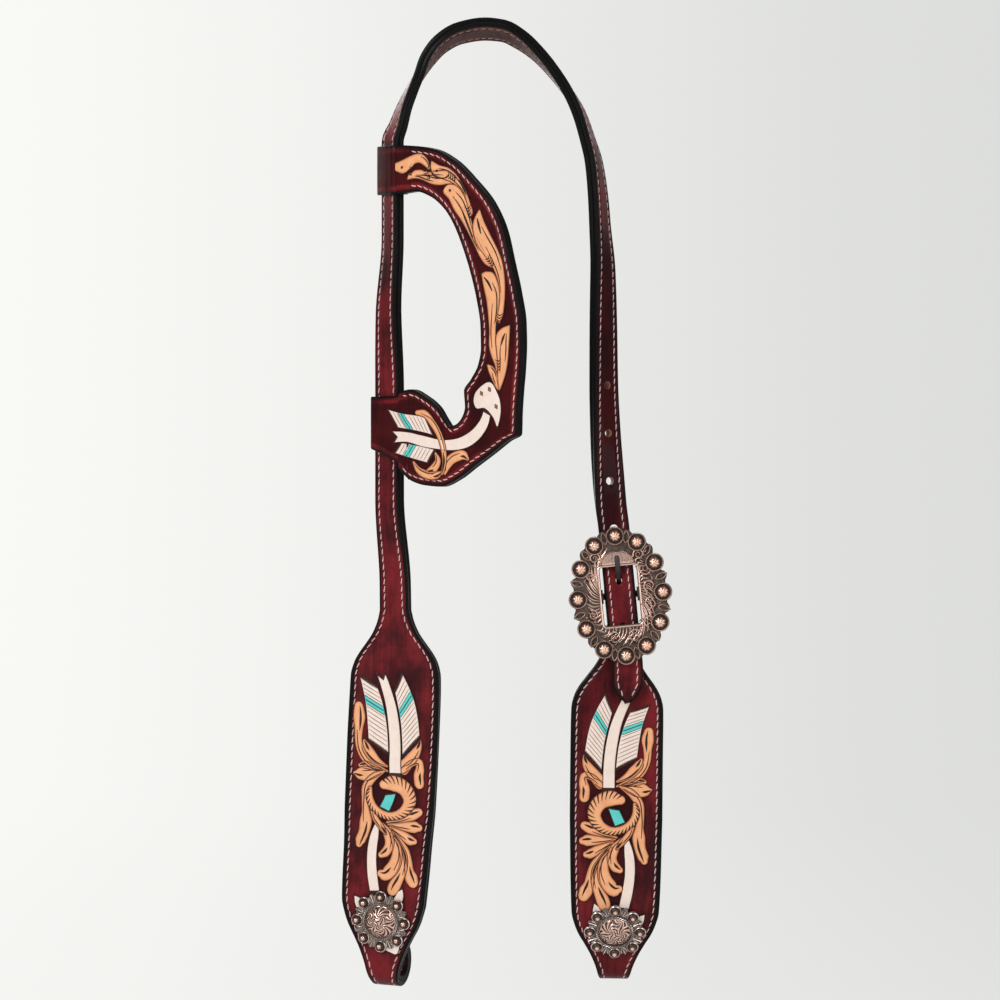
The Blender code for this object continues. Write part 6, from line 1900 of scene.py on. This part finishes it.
@dataclass
class Concho:
    """One screwed concho: a swirled dome in a roped collar, with berries and petals round it."""

    side: str
    body: Body
    plane: Plane
    berries: int = 8
    ring: float = 12.9
    rope: int = 44

    def build(self) -> None:
        """Make the dome, the berries and the relief on the plate."""
        seat = self.plane.raised(STRAP_THICKNESS / 2 + SEAM)
        top = 1.3 * MM
        dome = Draft()
        self.dome(dome, seat, top + 0.3 * MM)
        node = f"{self.side}_concho_dome"
        dome.piece(node + "_swirled", Finish.DOME, self.body, Slot.COPPER, [node], 70.0)
        relief = Draft()
        for index in range(self.berries):
            angle = math.tau * index / self.berries
            x, y = self.ring * math.sin(angle) * MM, self.ring * math.cos(angle) * MM
            berry(f"{self.side}_concho_berry_{index + 1}", self.body, seat, x, y, top + 0.3 * MM,
                  2.4 * MM, 2.2 * MM, 6, 0.85)
            ring_bead(relief, seat, x, y, top + 0.1 * MM, 2.72 * MM, 0.42 * MM, 0.6 * MM, 0.9, 28)
            self.petal(relief, seat, top, (index + 0.5) / self.berries)
        for angle in math.tau * np.arange(self.rope) / self.rope:
            rows = fan(0.0, 0.0, math.pi / 2 - angle,
                       ((8.75, 0.05, 0.26), (9.2, 0.0, 0.26), (9.65, -0.05, 0.26)))
            ridge(relief, seat, rows, top + 0.6 * MM, top + 1.15 * MM, 0.8, 5)
        relief.piece(f"{self.side}_concho_relief", Finish.GUNMETAL, self.body, Slot.GUNMETAL)

    def petal(self, draft: Draft, seat: Plane, top: float, turns: float) -> None:
        """Add a small shell of three ribs between two berries."""
        angle = math.pi / 2 - math.tau * turns
        for spread, reach in ((0.11, 13.6), (0.0, 14.6), (-0.11, 13.6)):
            rows = fan(0.0, 0.0, angle, ((10.3, 0.4 * spread, 0.3), (12.2, spread, 0.45),
                                         (reach, 1.1 * spread, 0.3)))
            ridge(draft, seat, rows, top - 0.1 * MM, top + 0.6 * MM, 0.95, 7)

    def dome(self, draft: Draft, seat: Plane, base: float) -> None:
        """Add the dome: its height is a cap's, less curls of grooves round six places.

        The groove is a raised cosine of eight times the bearing from the nearest place plus nine
        times the logarithm of the distance to it.

        Args:
            draft: The mesh to add to.
            seat: The concho's plane.
            base: Height of the dome's foot.
        """
        share = np.concatenate([[0.0], np.linspace(0.03, 1.0, 46) ** 0.8])[::-1][:, None]
        around = np.linspace(0, math.tau, 240, endpoint=False)[None]
        out = 8.2 * MM * share
        cap = 3.6 * MM * (1 - share ** 2.2)
        flat = out[..., None] * rows_of(np.cos(around), np.sin(around)) / MM
        bearing, reach = np.radians([70, 190, 310, 20, 140, 250]), np.repeat([3.4, 7.6], 3)
        places = rows_of(reach * np.cos(bearing), reach * np.sin(bearing))
        away = flat[..., None, :] - places
        far = np.linalg.norm(away, axis=-1)
        turn = 8 * np.arctan2(away[..., 1], away[..., 0]) + 9.0 * np.log(far + 0.5)
        nearest = np.argmin(far, axis=-1)[..., None]
        groove = 0.5 + 0.5 * np.cos(np.take_along_axis(turn, nearest, axis=-1)[..., 0])
        groove = groove * np.clip((1 - share) / 0.06, 0, 1)
        height = base + cap - 0.28 * MM * groove
        height[-1] = height[-1].mean()
        rings = seat.place(out * np.cos(around), out * np.sin(around), height)
        rings[-1] = rings[-2] * 0.02 + rings[-1] * 0.98
        draft.tube(rings, paint=1.05 - 1.15 * groove)


# ---- stage ----


@dataclass(frozen=True)
class Stage:
    """A pale sweep, soft lamps and the camera."""

    camera_place: tuple[float, float, float] = (0.00768, -4.0, -0.2387)
    lens: float = 281.3
    lit: Colour = (1.0, 1.0, 0.975)
    shaded: Colour = (0.76, 0.77, 0.75)
    lamps: tuple = (
        ("key", (-1.05, -1.4, 0.55), (0.0, 0.0, -0.22), 0.9, 23.5),
        ("fill", (1.2, -1.4, 0.1), (0.0, 0.0, -0.25), 1.2, 10.5),
        ("top", (0.1, 0.3, 1.2), (0.0, 0.0, -0.2), 0.9, 7.0),
        ("back", (-0.5, 1.6, 0.2), (0.0, 0.0, -0.25), 1.0, 6.0))
    daylight: float = 0.30
    glow: float = 0.92

    def build(self) -> None:
        """Make the sweep, the lamps, the world and the camera."""
        self.sweep()
        for lamp in self.lamps:
            self.lamp(*lamp)
        scene = bpy.context.scene
        scene.world = bpy.data.worlds.new("studio")
        scene.world.use_nodes = True
        plain = scene.world.node_tree.nodes["Background"]
        plain.inputs[0].default_value, plain.inputs[1].default_value = (1.0, 1.0, 1.0, 1.0), self.daylight
        data = bpy.data.cameras.new("camera")
        data.lens, data.sensor_width = self.lens, 36.0
        data.clip_start, data.clip_end = 0.05, 30.0
        camera = linked("camera", data)
        camera.location, camera.rotation_euler = self.camera_place, (math.pi / 2, 0.0, 0.0)
        scene.camera = camera
        scene.view_settings.view_transform = "Standard"

    def lamp(self, name: str, place: tuple, target: tuple, size: float, power: float) -> None:
        """Add a square soft lamp that faces a point."""
        data = bpy.data.lights.new(name, "AREA")
        data.shape, data.size, data.energy = "SQUARE", size, power
        lamp = linked(name, data)
        lamp.location = place
        facing = np.array(target) - np.array(place)
        yaw, flat = math.atan2(-facing[0], facing[1]), math.hypot(facing[0], facing[1])
        lamp.rotation_euler = (math.atan2(flat, -facing[2]), 0.0, yaw)

    def sweep(self) -> None:
        """Make the floor and wall: a profile of floor, quarter circle and wall, pushed sideways."""
        angle = np.linspace(0, math.pi / 2, 16)
        bend = rows_of(5.5 + np.sin(angle), 0.38 - np.cos(angle))
        profile = np.concatenate([[[-8.0, -0.62]], bend, [[6.5, 6.0]]])
        grid = rows_of(np.array([[-8.0], [8.0]]), profile[:, 0], profile[:, 1]).reshape(-1, 3)
        rows = np.arange(len(profile) - 1)
        faces = np.stack([rows, rows + len(profile), rows + len(profile) + 1, rows + 1], axis=1)
        data = bpy.data.meshes.new("sweep")
        data.from_pydata(grid.tolist(), [], faces.tolist())
        data.shade_smooth()
        g = Graph("pale_sweep")
        across = g.add("ShaderNodeSeparateXYZ", {"Vector": g.place()}).outputs[0]
        colour = g.mix(g.span(across, -0.75, 0.75), self.lit, self.shaded)
        g.set(Base_Color=colour, Roughness=0.9)
        path = g.add("ShaderNodeLightPath", {})
        seen = g.math("MAXIMUM", path.outputs["Is Camera Ray"], path.outputs["Is Glossy Ray"])
        seen = g.math("MAXIMUM", seen, path.outputs["Is Transmission Ray"])
        glow = g.add("ShaderNodeEmission", {"Color": colour, "Strength": 1.0}).outputs[0]
        share = g.math("MULTIPLY", seen, self.glow)
        mixed = g.add("ShaderNodeMixShader", {0: share, 1: g.shader.outputs[0], 2: glow}).outputs[0]
        g.tree.links.new(mixed, g.tree.nodes["Material Output"].inputs["Surface"])
        data.materials.append(g.material)
        linked("sweep", data)


def dress_nodes() -> None:
    """Give the CAD nodes that stay their own finishes."""
    finishes = {"buckle_frame": Finish.FRAME, "buckle_tongue": Finish.STEEL, "heel_bar": Finish.STEEL}
    for side in ("left", "right"):
        finishes |= {f"{side}_concho": Finish.PEWTER, f"{side}_concho_post": Finish.STEEL,
                     f"{side}_concho_screw": Finish.STEEL}
    for name, finish in finishes.items():
        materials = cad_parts[name].data.materials
        materials.clear()
        materials.append(finish.material())
        LOG.info("%s: dressed as %s", name, finish.material().name)


def main() -> None:
    """Build the headstall's pieces in order."""
    logging.basicConfig(level=logging.INFO, format="%(name)s: %(message)s")
    crown = CrownStrap()
    crown.build()
    cheek = RightCheek(crown)
    cheek.build()
    ear = EarPiece(crown)
    ear.build()
    left = PaddleGround(crown.way, crown.screw + 61.0 * MM, 1.0, -1.8 * MM, 3.0 * MM, 0.2)
    carve_paddle(left, True, "left_tooling", Body.CROWN)
    right = PaddleGround(cheek.way, cheek.screw - 58.5 * MM, -1.0)
    carve_paddle(right, False, "right_tooling", Body.CHEEK)
    carve_ear(ear)
    Buckle(cheek.buckle).build()
    Concho("left", Body.CROWN, crown.way.plane(crown.screw)).build()
    Concho("right", Body.CHEEK, cheek.way.plane(cheek.screw)).build()
    dress_nodes()
    Stage().build()


if __name__ == "__main__":
    main()
